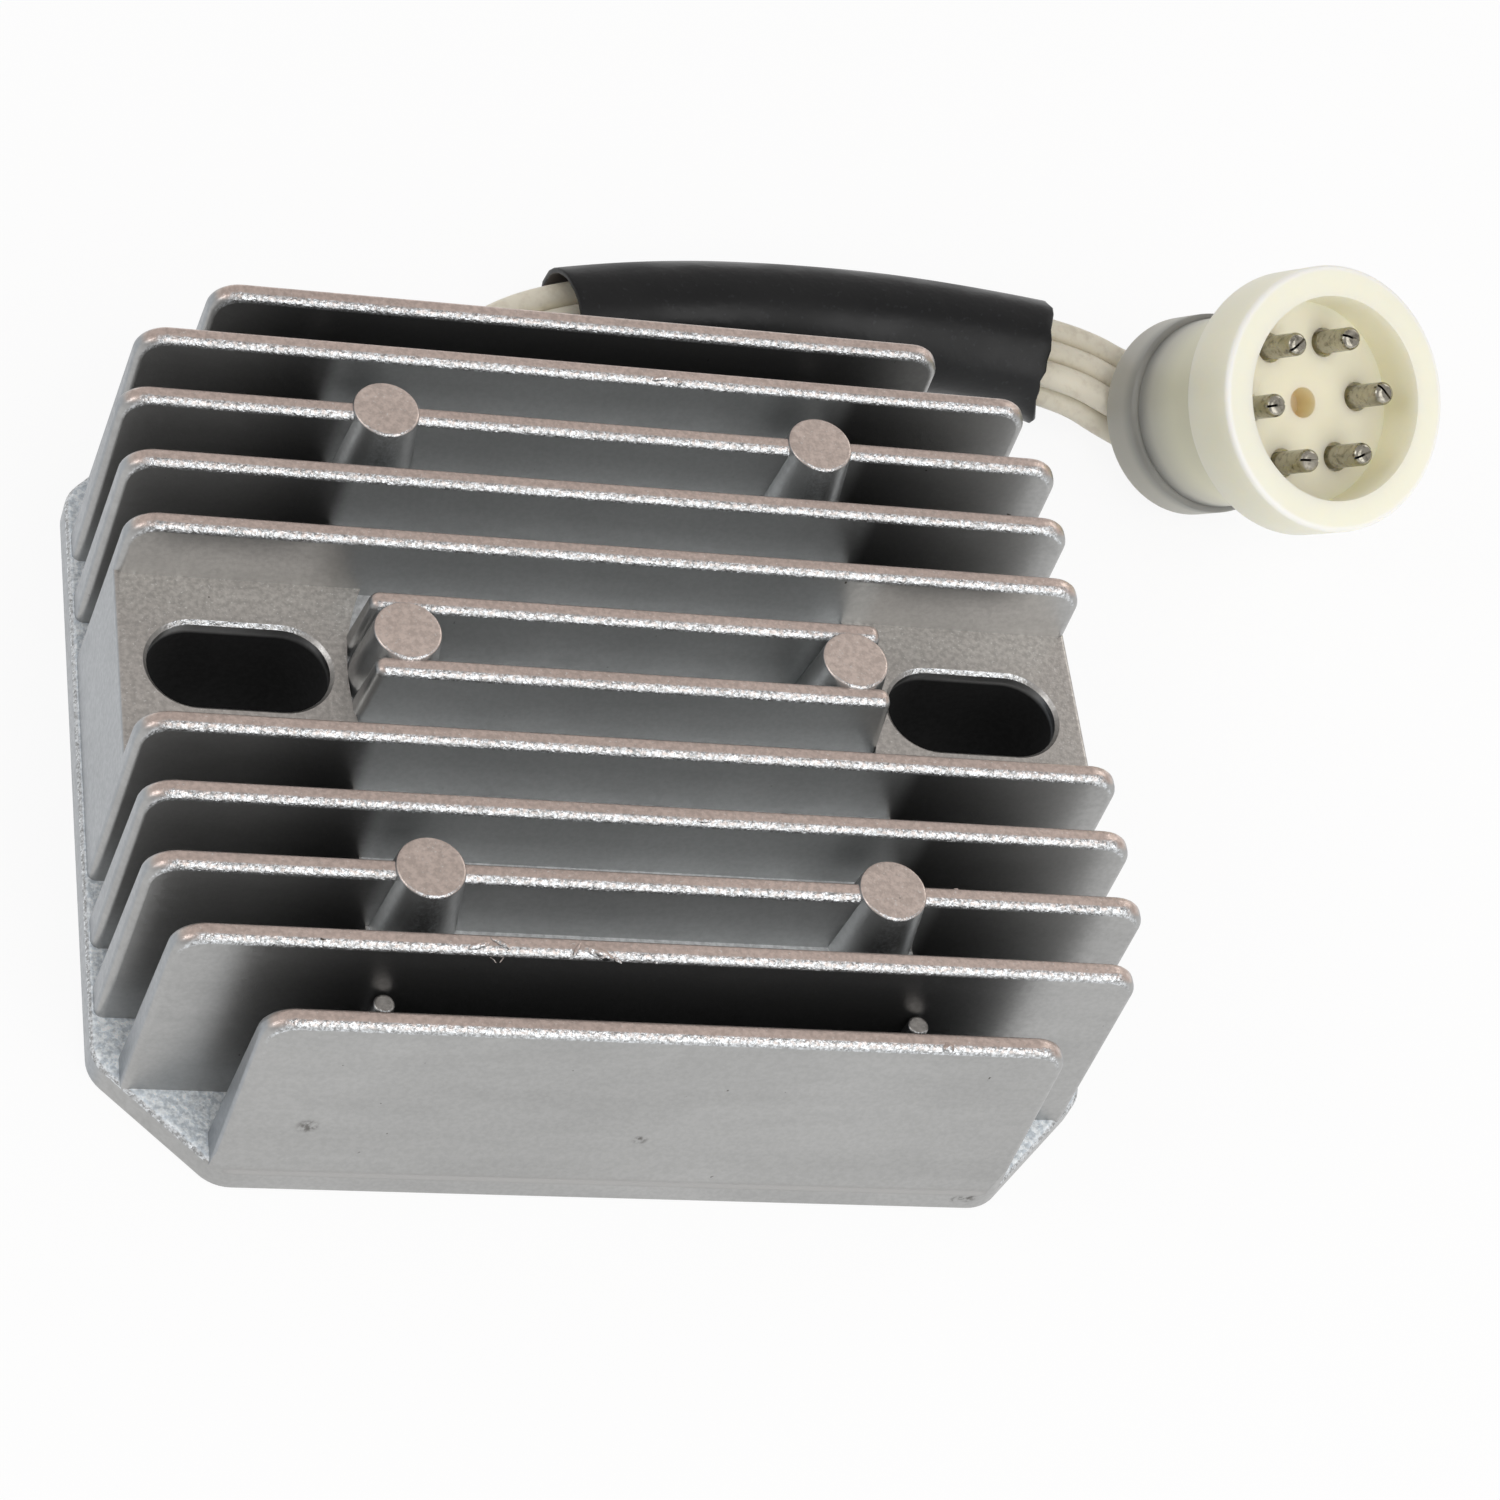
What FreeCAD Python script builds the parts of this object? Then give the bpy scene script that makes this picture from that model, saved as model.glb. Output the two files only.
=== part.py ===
"""Voltage regulator rectifier: a finned die-cast heat sink with potted electronics,
six wires in a loose sleeve and a round plug. Millimetres; +Z up from the mounting face."""
import FreeCAD, Part
import math
import os

V = FreeCAD.Vector

# Heat sink: base plate
BASE_HALF_X = 46.8
BASE_HALF_Y = 41.9
BASE_THICK = 3.0
BASE_RIM_ROUND = 0.6
CORNER_LEG = 10.7
CORNER_ROUND = 4.0
CUT_PAST = 1.0

# Heat sink: fins, numbered from the front; the outer faces lean out to the base's sides
FIN_COUNT = 12
FIN_TOP_THICK = 1.95
OUTER_FACE_LEAN = 1.6
FIN_PITCH = 2.0 * (BASE_HALF_Y - OUTER_FACE_LEAN - FIN_TOP_THICK / 2.0) / (FIN_COUNT - 1)
FIN_TOP_Z = 27.0
OUTER_FIN_TOP_Z = 25.5
FIN_EDGE_ROUND = 0.8
FIN_DRAFT = 2.0
END_DRAFT = 1.6
END_ROUND = 3.0
LONG_FIN_STEP = 1.1
SECOND_FIN_STEP = 2.0
OUTER_FIN_PAST_CORNER = 0.1
LONG_FIN_HALF = BASE_HALF_X - LONG_FIN_STEP
SECOND_FIN_HALF = LONG_FIN_HALF - SECOND_FIN_STEP
OUTER_FIN_HALF = BASE_HALF_X - CORNER_LEG + OUTER_FIN_PAST_CORNER

# Heat sink: screw pads and their slots
PAD_TOP_Z = 20.1
PAD_EDGE_ROUND = 0.4
SLOT_LENGTH = 16.7
SLOT_WIDTH = 9.0
SLOT_CHAMFER = 0.35
SLOT_END_WALL = 3.45
SLOT_INNER_WALL = 1.55
SLOT_SPACING = 2.0 * (BASE_HALF_X - SLOT_END_WALL) - SLOT_LENGTH
PAD_INNER_R = (SLOT_SPACING - SLOT_LENGTH) / 2.0 - SLOT_INNER_WALL
CENTRE_FIN_STEP = 1.0
CENTRE_FIN_HALF = PAD_INNER_R - CENTRE_FIN_STEP
CENTRE_FIN_DRAFT = 6.5
CENTRE_FIN_ROUND = 1.0

# Heat sink: conical posts, thin stubs and the raised floor
POST_INSET = 4.0
POST_X = PAD_INNER_R - POST_INSET
POST_FIN = 3
POST_TOP_Z = 27.3
POST_TOP_R = 3.11
POST_FOOT_R = 4.1
POST_RIM = 0.3
POST_SUNK = 1.0
STUB_INSET = 0.7
STUB_X = PAD_INNER_R - STUB_INSET
STUB_FROM_FIN = 2.3
STUB_TOP_R = 0.95
STUB_FOOT_R = 2.0
STUB_RIM = 0.25
STUB_TOP_Z = 20.0
FLOOR_TOP_Z = 19.2
FLOOR_PAST_PAD = 0.2
FLOOR_HALF_X = PAD_INNER_R + FLOOR_PAST_PAD
FLOOR_LEAN = 1.1
FLOOR_CORNER_ROUND = 0.5

# Heat sink: cavity for the electronics and the wires' way out
CAVITY_SIDE_WALL = 2.7
CAVITY_END_WALL = 1.575
CAVITY_HALF_X = FLOOR_HALF_X - CAVITY_SIDE_WALL
CAVITY_HALF_Y = FIN_PITCH * (FIN_COUNT - 3) / 2.0 - CAVITY_END_WALL
CAVITY_TOP_Z = 16.4
CAVITY_TOP_INSET = 0.4
CAVITY_ROUND = 3.0
POTTING_RECESS = 0.8
HOOD_WALL = 1.8
CHANNEL_CLEAR = 0.7
CHANNEL_LAP = 0.8
CHANNEL_FILL_STEP = 3.9
EXIT_FROM_CAVITY_SIDE = 10.6
EXIT_X = EXIT_FROM_CAVITY_SIDE - CAVITY_HALF_X

# Wires and their sleeve
WIRE_DIA = 2.8
WIRE_PITCH = 2.95
SLEEVE_OUTER_DIA = 11.7
SLEEVE_INNER_DIA = 10.5
BEND_SHARE = 0.45
ROW_SPREAD_AT_PLUG = 1.15

# Middle of the bundle, from where it leaves the rear wall: terminals, sleeve, then the plug
BUNDLE_ROUTE = [
    (0.0, -14.9, 3.65),
    (0.0, -6.9, 3.65),
    (0.0, 1.7, 3.95),
    (6.6, 7.9, 4.6),
    (13.8, 12.6, 5.3),
    (25.0, 15.3, 5.5),
    (40.0, 16.5, 5.5),
    (56.0, 16.3, 5.5),
    (71.2, 14.2, 5.5),
    (78.0, 10.5, 4.4),
]

# Middle of the sleeve from its left end, measured as the bundle is
SLEEVE_ROUTE = [
    (16.0, 13.15, 5.85),
    (25.0, 15.3, 5.85),
    (40.0, 16.5, 5.85),
    (56.0, 16.3, 5.85),
    (67.7, 14.7, 5.85),
]
BUNDLE = [(EXIT_X + x, BASE_HALF_Y + y, z) for x, y, z in BUNDLE_ROUTE]
SLEEVE = [(EXIT_X + x, BASE_HALF_Y + y, z) for x, y, z in SLEEVE_ROUTE]

# Each wire: column across the bundle, row in it, and its pin
WIRES = [
    (-1, 0.5, 1),
    (0, 0.5, 2),
    (1, 0.5, 3),
    (-1, -0.5, 0),
    (0, -0.5, 5),
    (1, -0.5, 4),
]

# Electronics inside the cavity
TERMINAL_WIDTH = 2.0
TERMINAL_LENGTH = 5.0
TERMINAL_THICK = 1.6
TERMINAL_LAP = 0.5
BOARD_SIDE_GAP = 3.6
BOARD_FRONT_GAP = 4.6
BOARD_THICK = 1.2
BOARD_HALF_X = CAVITY_HALF_X - BOARD_SIDE_GAP
BOARD_FRONT_Y = BOARD_FRONT_GAP - CAVITY_HALF_Y
BOARD_REAR_Y = BUNDLE[0][1] - TERMINAL_LENGTH + TERMINAL_LAP
BOARD_LENGTH = BOARD_REAR_Y - BOARD_FRONT_Y
PACKAGE_LENGTH = 10.2
PACKAGE_THICK = 3.4
PACKAGE_COLUMNS = 3
LEG_WIDTH = 0.9
LEG_THICK = 0.6
LEG_PITCH = 2.54
LEG_REACH = 1.2
DIODE_ROW_SHARE = 0.206
THYRISTOR_ROW_SHARE = 0.598
SMALL_ROW_SHARE = 0.88
DIODE_ROW_Y = BOARD_FRONT_Y + DIODE_ROW_SHARE * BOARD_LENGTH
THYRISTOR_ROW_Y = BOARD_FRONT_Y + THYRISTOR_ROW_SHARE * BOARD_LENGTH
SMALL_ROW_Y = BOARD_FRONT_Y + SMALL_ROW_SHARE * BOARD_LENGTH
SHEET_MARGIN = 1.9
SHEET_THICK = 0.4
SHEET_HALF_X = BOARD_HALF_X
SHEET_FRONT_Y = DIODE_ROW_Y - PACKAGE_LENGTH / 2.0 - SHEET_MARGIN
SHEET_REAR_Y = THYRISTOR_ROW_Y + PACKAGE_LENGTH / 2.0 + LEG_REACH + SHEET_MARGIN
PACKAGE_EDGE_GAP = 0.4
PACKAGE_SPACE = 2.6
PACKAGE_PITCH = 2.0 * (SHEET_HALF_X - PACKAGE_EDGE_GAP) / PACKAGE_COLUMNS
PACKAGE_WIDTH = PACKAGE_PITCH - PACKAGE_SPACE
CHIP_SIZE = (5.0, 4.0, 1.5)
CHIP_SHARE = -0.42
CHIP_X = CHIP_SHARE * BOARD_HALF_X
CAPACITOR_R = 3.15
CAPACITOR_HEIGHT = 5.4
CAPACITOR_SHARE = 0.16
CAPACITOR_X = CAPACITOR_SHARE * BOARD_HALF_X
RESISTOR_SIZE = (3.2, 1.6, 0.7)
RESISTOR_SHARE = 0.65
RESISTOR_X = RESISTOR_SHARE * BOARD_HALF_X
RESISTOR_STEP = 2.6

# Plug, measured along its own axis from the boot's rear
PLUG_FROM_EXIT = (83.93, 8.41)
PLUG_X = EXIT_X + PLUG_FROM_EXIT[0]
PLUG_Y = BASE_HALF_Y + PLUG_FROM_EXIT[1]
PLUG_TURN = -68.8
PLUG_LIFT = 55.2
PLUG_LENGTH = 26.0
FLANGE_R = 13.4
FLANGE_THICK = 7.0
FLANGE_ROUND = 0.5
RECESS_R = 10.3
RECESS_DEPTH = 5.6
CENTRE_HOLE_R = 1.55
CENTRE_HOLE_DEPTH = 3.0
CORE_R = 8.3
CORE_LENGTH = 9.0
CORE_LAP = 0.5
BOOT_R = 9.8
BOOT_COLLAR_R = 10.4
BOOT_COLLAR_LENGTH = 5.3
BOOT_INNER_R = 9.2
BOOT_MOUTH_CHAMFER = 0.4
BOOT_ROUND = 0.6
BOOT_LAP = 1.0
PIN_DIA = 2.36
PIN_CIRCLE_R = 6.75
PIN_PHASE = -7.0
PIN_STEP = 360.0 / len(WIRES)
PIN_TIP_BELOW_FACE = 0.6
PIN_TIP_ROUND = 0.7
WIRE_ENTRY = (-0.4, 0.0, 3.5)
WIRE_ENTRY_SHARE = 0.7
WIRE_LAST_RUN = 3.0


def slope(degrees, height):
    """Side shift of a drafted face over a height."""
    return height * math.tan(math.radians(degrees))


def rounded_loop(points, radius, z):
    """Closed outline at one height with every corner rounded."""
    count = len(points)
    edges = []
    last = None
    first = None
    for i in range(count):
        corner = V(*points[i], z)
        back = (V(*points[i - 1], z) - corner).normalize()
        ahead = (V(*points[(i + 1) % count], z) - corner).normalize()
        half = math.acos(max(-1.0, min(1.0, back.dot(ahead)))) / 2.0
        reach = radius / math.tan(half)
        middle = (back + ahead).normalize() * (radius / math.sin(half) - radius)
        start = corner + back * reach
        end = corner + ahead * reach
        if last is not None:
            edges.append(Part.LineSegment(last, start).toShape())
        else:
            first = start
        edges.append(Part.Arc(start, corner + middle, end).toShape())
        last = end
    edges.append(Part.LineSegment(last, first).toShape())
    return Part.Wire(edges)


def drafted_block(lower, upper, radius, z0, z1):
    """Solid between two rounded outlines of the same make."""
    wires = [rounded_loop(lower, radius, z0), rounded_loop(upper, radius, z1)]
    return Part.makeLoft(wires, True, True)


def rectangle(half_x, y0, y1):
    """Corners of a rectangle centred on x = 0."""
    return [(-half_x, y0), (half_x, y0), (half_x, y1), (-half_x, y1)]


def octagon(half_x, half_y, leg):
    """Corners of the base plate's outline."""
    near_x = half_x - leg
    near_y = half_y - leg
    return [
        (-near_x, -half_y), (near_x, -half_y), (half_x, -near_y), (half_x, near_y),
        (near_x, half_y), (-near_x, half_y), (-half_x, near_y), (-half_x, -near_y),
    ]


def outline_column(height):
    """Upright block with the outline of the base plate."""
    loop = rounded_loop(octagon(BASE_HALF_X, BASE_HALF_Y, CORNER_LEG), CORNER_ROUND, 0.0)
    return Part.Face(loop).extrude(V(0, 0, height))


def base_plate():
    """Flat plate with cut corners and a rounded upper rim."""
    plate = outline_column(BASE_THICK)
    rim = [e for e in plate.Edges if e.BoundBox.ZMin > BASE_THICK - BASE_RIM_ROUND]
    return plate.makeFillet(BASE_RIM_ROUND, rim)


def fin_y(number):
    """Centre of a fin across the heat sink."""
    return (number - (FIN_COUNT + 1) / 2.0) * FIN_PITCH


def fin_height(number):
    """Top of a fin: the outermost two are lower."""
    if number in (1, FIN_COUNT):
        return OUTER_FIN_TOP_Z
    return FIN_TOP_Z


def fin_half_length(number):
    """Half the length of a fin at its top."""
    if number in (1, FIN_COUNT):
        return OUTER_FIN_HALF
    if number in (2, FIN_COUNT - 1):
        return SECOND_FIN_HALF
    if number in (FIN_COUNT // 2, FIN_COUNT // 2 + 1):
        return CENTRE_FIN_HALF
    return LONG_FIN_HALF


def fin_section(number):
    """Cross-section of a fin between its two drafted faces."""
    top = fin_height(number)
    y = fin_y(number)
    half = FIN_TOP_THICK / 2.0
    foot_low = y - half - slope(FIN_DRAFT, top)
    foot_high = y + half + slope(FIN_DRAFT, top)
    if number == 1:
        foot_low = -BASE_HALF_Y
    if number == FIN_COUNT:
        foot_high = BASE_HALF_Y
    corners = [V(0, foot_low, 0), V(0, foot_high, 0), V(0, y + half, top), V(0, y - half, top)]
    return Part.Face(Part.makePolygon(corners + corners[:1]))


def end_envelope(half, top, draft, radius):
    """Long block whose side view has drafted ends and rounded upper corners."""
    foot = half + slope(draft, top)
    lean = math.radians(90.0 + draft) / 2.0
    reach = radius / math.tan(lean)
    down = V(foot - half, 0, -top).normalize() * reach
    centre = V(half - reach, 0, top - radius)
    out = V(math.cos(lean - math.radians(draft)), 0, math.sin(lean - math.radians(draft)))
    corner = V(half, 0, top)
    mid = centre + out * radius

    def flip(p):
        return V(-p.x, p.y, p.z)

    right = [corner - V(reach, 0, 0), mid, corner + down, V(foot, 0, 0)]
    left = [flip(p) for p in right]
    edges = [
        Part.LineSegment(left[0], right[0]).toShape(),
        Part.Arc(right[0], right[1], right[2]).toShape(),
        Part.LineSegment(right[2], right[3]).toShape(),
        Part.LineSegment(right[3], left[3]).toShape(),
        Part.LineSegment(left[3], left[2]).toShape(),
        Part.Arc(left[2], left[1], left[0]).toShape(),
    ]
    face = Part.Face(Part.Wire(edges))
    face.translate(V(0, -BASE_HALF_Y - CUT_PAST, 0))
    return face.extrude(V(0, 2.0 * (BASE_HALF_Y + CUT_PAST), 0))


def rounded_sides(bar):
    """Rounds the rim of both long faces of a fin, from foot to foot over the top."""
    rims = []
    for face in bar.Faces:
        if abs(face.normalAt(0, 0).y) > 0.9:
            rims += [e for e in face.Edges if e.BoundBox.ZMax > BASE_THICK]
    return bar.makeFillet(FIN_EDGE_ROUND, rims)


def fin(number, column):
    """One cooling fin, cut to its side view and to the base's outline."""
    section = fin_section(number)
    section.translate(V(-BASE_HALF_X, 0, 0))
    bar = section.extrude(V(2.0 * BASE_HALF_X, 0, 0))
    half = fin_half_length(number)
    if half == CENTRE_FIN_HALF:
        side_view = end_envelope(half, FIN_TOP_Z, CENTRE_FIN_DRAFT, CENTRE_FIN_ROUND)
    else:
        side_view = end_envelope(half, fin_height(number), END_DRAFT, END_ROUND)
    return rounded_sides(bar.common(side_view)).common(column)


def pad_block():
    """Both screw pads between the fins beside the middle pair, with a round inner edge."""
    edge_fin = FIN_COUNT // 2 + 2
    half_y = fin_y(edge_fin)
    block = Part.makeBox(2 * BASE_HALF_X, 2 * half_y, PAD_TOP_Z, V(-BASE_HALF_X, -half_y, 0))
    block = block.common(end_envelope(LONG_FIN_HALF, FIN_TOP_Z, END_DRAFT, END_ROUND))
    ends = [e for e in block.Edges
            if e.BoundBox.ZMin > PAD_TOP_Z - PAD_EDGE_ROUND and e.BoundBox.YLength > half_y]
    block = block.makeFillet(PAD_EDGE_ROUND, ends)
    return block.cut(Part.makeCylinder(PAD_INNER_R, PAD_TOP_Z, V(0, 0, FLOOR_TOP_Z)))


def raised_floor():
    """Roof block over the cavity, between the second fins from each side."""
    half_y = fin_y(FIN_COUNT - 1)
    lower = rectangle(FLOOR_HALF_X + FLOOR_LEAN, -half_y, half_y)
    upper = rectangle(FLOOR_HALF_X, -half_y, half_y)
    return drafted_block(lower, upper, FLOOR_CORNER_ROUND, 0.0, FLOOR_TOP_Z)


def post(x, y):
    """Conical post with a slightly rounded rim."""
    taper = (POST_FOOT_R - POST_TOP_R) / (POST_TOP_Z - FLOOR_TOP_Z)
    low = FLOOR_TOP_Z - POST_SUNK
    foot_r = POST_FOOT_R + taper * POST_SUNK
    cone = Part.makeCone(foot_r, POST_TOP_R, POST_TOP_Z - low, V(x, y, low))
    rim = [e for e in cone.Edges if e.BoundBox.ZMin > POST_TOP_Z - POST_RIM]
    return cone.makeFillet(POST_RIM, rim)


def stub(x, y):
    """Thin cone standing on the base plate, with a rounded rim."""
    low = BASE_THICK / 2.0
    cone = Part.makeCone(STUB_FOOT_R, STUB_TOP_R, STUB_TOP_Z - low, V(x, y, low))
    rim = [e for e in cone.Edges if e.BoundBox.ZMin > STUB_TOP_Z - STUB_RIM]
    return cone.makeFillet(STUB_RIM, rim)


def slot_cutter(x):
    """Slot through a pad with a small chamfer at the top rim."""
    half = (SLOT_LENGTH - SLOT_WIDTH) / 2.0
    r = SLOT_WIDTH / 2.0
    c = SLOT_CHAMFER
    tall = PAD_TOP_Z + 2.0 * CUT_PAST
    body = Part.makeBox(2 * half, SLOT_WIDTH, tall, V(x - half, -r, -CUT_PAST))
    for side in (-half, half):
        body = body.fuse(Part.makeCylinder(r, tall, V(x + side, 0, -CUT_PAST)))
    rim_low = slot_face(x, half, r, PAD_TOP_Z - c)
    rim_high = slot_face(x, half, r + c, PAD_TOP_Z)
    flare = Part.makeLoft([rim_low, rim_high], True, True)
    return body.fuse(flare)


def slot_face(x, half, r, z):
    """Outline of a slot at one height."""
    a = V(x - half, -r, z)
    b = V(x + half, -r, z)
    c = V(x + half, r, z)
    d = V(x - half, r, z)
    return Part.Wire([
        Part.LineSegment(a, b).toShape(),
        Part.Arc(b, V(x + half + r, 0, z), c).toShape(),
        Part.LineSegment(c, d).toShape(),
        Part.Arc(d, V(x - half - r, 0, z), a).toShape(),
    ])


def cavity_block(z0):
    """Space for the electronics, from a height up to its ceiling."""
    share = z0 / CAVITY_TOP_Z
    low_x = CAVITY_HALF_X - share * CAVITY_TOP_INSET
    low_y = CAVITY_HALF_Y - share * CAVITY_TOP_INSET
    top_x = CAVITY_HALF_X - CAVITY_TOP_INSET
    top_y = CAVITY_HALF_Y - CAVITY_TOP_INSET
    lower = rectangle(low_x, -low_y, low_y)
    upper = rectangle(top_x, -top_y, top_y)
    return drafted_block(lower, upper, CAVITY_ROUND, z0, CAVITY_TOP_Z)


def channel_half():
    """Half the width of the wires' way out."""
    return WIRE_PITCH + WIRE_DIA / 2.0 + CHANNEL_CLEAR


def channel_top():
    """Height of the wires' way out."""
    return BUNDLE[0][2] + (WIRE_PITCH + WIRE_DIA) / 2.0 + CHANNEL_CLEAR


def channel_block(z0, y1):
    """Space around the wires between the cavity and a plane further back."""
    half = channel_half()
    y0 = CAVITY_HALF_Y - CHANNEL_LAP
    return Part.makeBox(2 * half, y1 - y0, channel_top() - z0, V(EXIT_X - half, y0, z0))


def hood():
    """Local block over the wires' way out, between the two rearmost fins."""
    half = channel_half() + HOOD_WALL
    y0 = fin_y(FIN_COUNT - 1)
    y1 = fin_y(FIN_COUNT)
    return Part.makeBox(2 * half, y1 - y0, channel_top() + HOOD_WALL, V(EXIT_X - half, y0, 0))


def casting_groups():
    """Solid pieces of the casting, in the order in which they are joined."""
    column = outline_column(FIN_TOP_Z + CUT_PAST)
    side_y = fin_y(FIN_COUNT + 1 - POST_FIN)
    stub_y = fin_y(FIN_COUNT - 1) + STUB_FROM_FIN
    return [
        [base_plate(), raised_floor(), pad_block(), hood()],
        [fin(number, column) for number in range(1, FIN_COUNT + 1)],
        [post(x * POST_X, y) for x in (-1, 1) for y in (-side_y, 0.0, side_y)],
        [stub(x * STUB_X, y) for x in (-1, 1) for y in (-stub_y, stub_y)],
    ]


def heat_sink():
    """The whole casting."""
    first, *later = casting_groups()
    casting = first[0].multiFuse(first[1:])
    for group in later:
        casting = casting.multiFuse(group)
    tools = [slot_cutter(x) for x in (-SLOT_SPACING / 2.0, SLOT_SPACING / 2.0)]
    tools.append(cavity_block(0.0))
    tools.append(channel_block(-CUT_PAST, BASE_HALF_Y + CUT_PAST))
    for tool in tools:
        casting = casting.cut(tool)
    return casting.removeSplitter()


def box_at(size, spot, z):
    """Box centred on a spot, standing at a height."""
    corner = V(spot[0] - size[0] / 2.0, spot[1] - size[1] / 2.0, z)
    return Part.makeBox(size[0], size[1], size[2], corner)


def board_bottom():
    """Underside of the circuit board: it lies midway between the two rows of wires."""
    return BUNDLE[0][2] - BOARD_THICK / 2.0


def board_top():
    """Upper side of the circuit board."""
    return board_bottom() + BOARD_THICK


def circuit_board():
    """Plain board under the power packages."""
    corner = V(-BOARD_HALF_X, BOARD_FRONT_Y, board_bottom())
    return Part.makeBox(2 * BOARD_HALF_X, BOARD_LENGTH, BOARD_THICK, corner)


def insulating_sheet():
    """Thin sheet between the cavity's ceiling and the power packages."""
    length = SHEET_REAR_Y - SHEET_FRONT_Y
    corner = V(-SHEET_HALF_X, SHEET_FRONT_Y, CAVITY_TOP_Z - SHEET_THICK)
    return Part.makeBox(2 * SHEET_HALF_X, length, SHEET_THICK, corner)


def power_package(x, y, legs):
    """Flat package against the sheet, with legs bent down to the board."""
    top = CAVITY_TOP_Z - SHEET_THICK
    low = top - PACKAGE_THICK
    size = (PACKAGE_WIDTH, PACKAGE_LENGTH, PACKAGE_THICK)
    shape = box_at(size, (x, y), low)
    side = y + PACKAGE_LENGTH / 2.0
    bend = low + PACKAGE_THICK / 2.0
    for i in range(legs):
        leg_x = x + (i - (legs - 1) / 2.0) * LEG_PITCH - LEG_WIDTH / 2.0
        out = Part.makeBox(LEG_WIDTH, LEG_REACH, LEG_THICK, V(leg_x, side, bend))
        foot = V(leg_x, side + LEG_REACH - LEG_THICK, board_top())
        down = Part.makeBox(LEG_WIDTH, LEG_THICK, bend - board_top() + LEG_THICK, foot)
        shape = shape.fuse(out).fuse(down)
    return shape.removeSplitter()


def terminal(column, row):
    """Strip on the board that meets the end of one wire."""
    x, y, z = BUNDLE[0]
    x = x + column * WIRE_PITCH
    low = board_top() if row > 0 else board_bottom() - TERMINAL_THICK
    size = (TERMINAL_WIDTH, TERMINAL_LENGTH, TERMINAL_THICK)
    return box_at(size, (x, y - TERMINAL_LENGTH / 2.0), low)


def capacitor():
    """Round capacitor standing on the board."""
    foot = V(CAPACITOR_X, SMALL_ROW_Y, board_top())
    return Part.makeCylinder(CAPACITOR_R, CAPACITOR_HEIGHT, foot)


def electronics():
    """Every piece sealed in the cavity, by name."""
    pieces = {"circuit_board": circuit_board(), "insulating_sheet": insulating_sheet()}
    for i in range(PACKAGE_COLUMNS):
        place = i - (PACKAGE_COLUMNS - 1) / 2.0
        x = place * PACKAGE_PITCH
        pieces["diode_%d" % (i + 1)] = power_package(x, DIODE_ROW_Y, 2)
        pieces["thyristor_%d" % (i + 1)] = power_package(x, THYRISTOR_ROW_Y, 3)
        spot = (RESISTOR_X, SMALL_ROW_Y + place * RESISTOR_STEP)
        pieces["resistor_%d" % (i + 1)] = box_at(RESISTOR_SIZE, spot, board_top())
    pieces["control_chip"] = box_at(CHIP_SIZE, (CHIP_X, SMALL_ROW_Y), board_top())
    pieces["capacitor"] = capacitor()
    for i, (column, row, pin) in enumerate(WIRES):
        pieces["wire_terminal_%d" % (i + 1)] = terminal(column, row)
    return pieces


def plug_rear():
    """Middle of the boot's rear: its rounded rim stands on the floor."""
    lift = math.radians(PLUG_LIFT)
    ring = BOOT_COLLAR_R - BOOT_ROUND
    height = ring * math.cos(lift) + BOOT_ROUND * (1.0 - math.sin(lift))
    return V(PLUG_X, PLUG_Y, height)


def plug_axes():
    """Sideways, upward and forward directions of the plug."""
    turn = math.radians(PLUG_TURN)
    lift = math.radians(PLUG_LIFT)
    ahead = V(math.cos(lift) * math.cos(turn), math.cos(lift) * math.sin(turn), math.sin(lift))
    side = V(0, 0, 1).cross(ahead).normalize()
    return side, ahead.cross(side), ahead


def plug_point(s, u, a):
    """Point given by its distances along the plug's directions."""
    side, up, ahead = plug_axes()
    return plug_rear() + side * s + up * u + ahead * a


def plug_place(shape):
    """Moves a shape made around +Z to the plug's place."""
    side, up, ahead = plug_axes()
    rear = plug_rear()
    shape.Placement = FreeCAD.Placement(FreeCAD.Matrix(
        side.x, up.x, ahead.x, rear.x,
        side.y, up.y, ahead.y, rear.y,
        side.z, up.z, ahead.z, rear.z,
        0, 0, 0, 1))
    return shape


def pin_spot(pin):
    """Where a pin stands on the pin circle."""
    angle = math.radians(PIN_PHASE + PIN_STEP * pin)
    return PIN_CIRCLE_R * math.cos(angle), PIN_CIRCLE_R * math.sin(angle)


def core_rear():
    """Distance from the boot's rear to the back of the housing's core."""
    return PLUG_LENGTH - FLANGE_THICK - CORE_LENGTH


def connector_housing():
    """Round shroud with a floor and a solid core behind it."""
    back = PLUG_LENGTH - FLANGE_THICK
    shape = Part.makeCylinder(FLANGE_R, FLANGE_THICK, V(0, 0, back))
    shape = shape.makeFillet(FLANGE_ROUND, [e for e in shape.Edges if len(e.Vertexes) == 1])
    shape = shape.fuse(Part.makeCylinder(CORE_R, CORE_LENGTH + CORE_LAP, V(0, 0, core_rear())))
    floor = PLUG_LENGTH - RECESS_DEPTH
    shape = shape.cut(Part.makeCylinder(RECESS_R, RECESS_DEPTH + CUT_PAST, V(0, 0, floor)))
    hole = V(0, 0, floor - CENTRE_HOLE_DEPTH)
    shape = shape.cut(Part.makeCylinder(CENTRE_HOLE_R, CENTRE_HOLE_DEPTH + CUT_PAST, hole))
    for i in range(len(WIRES)):
        s, u = pin_spot(i)
        shape = shape.cut(Part.makeCylinder(PIN_DIA / 2.0, PLUG_LENGTH, V(s, u, 0)))
    return plug_place(shape.removeSplitter())


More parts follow.
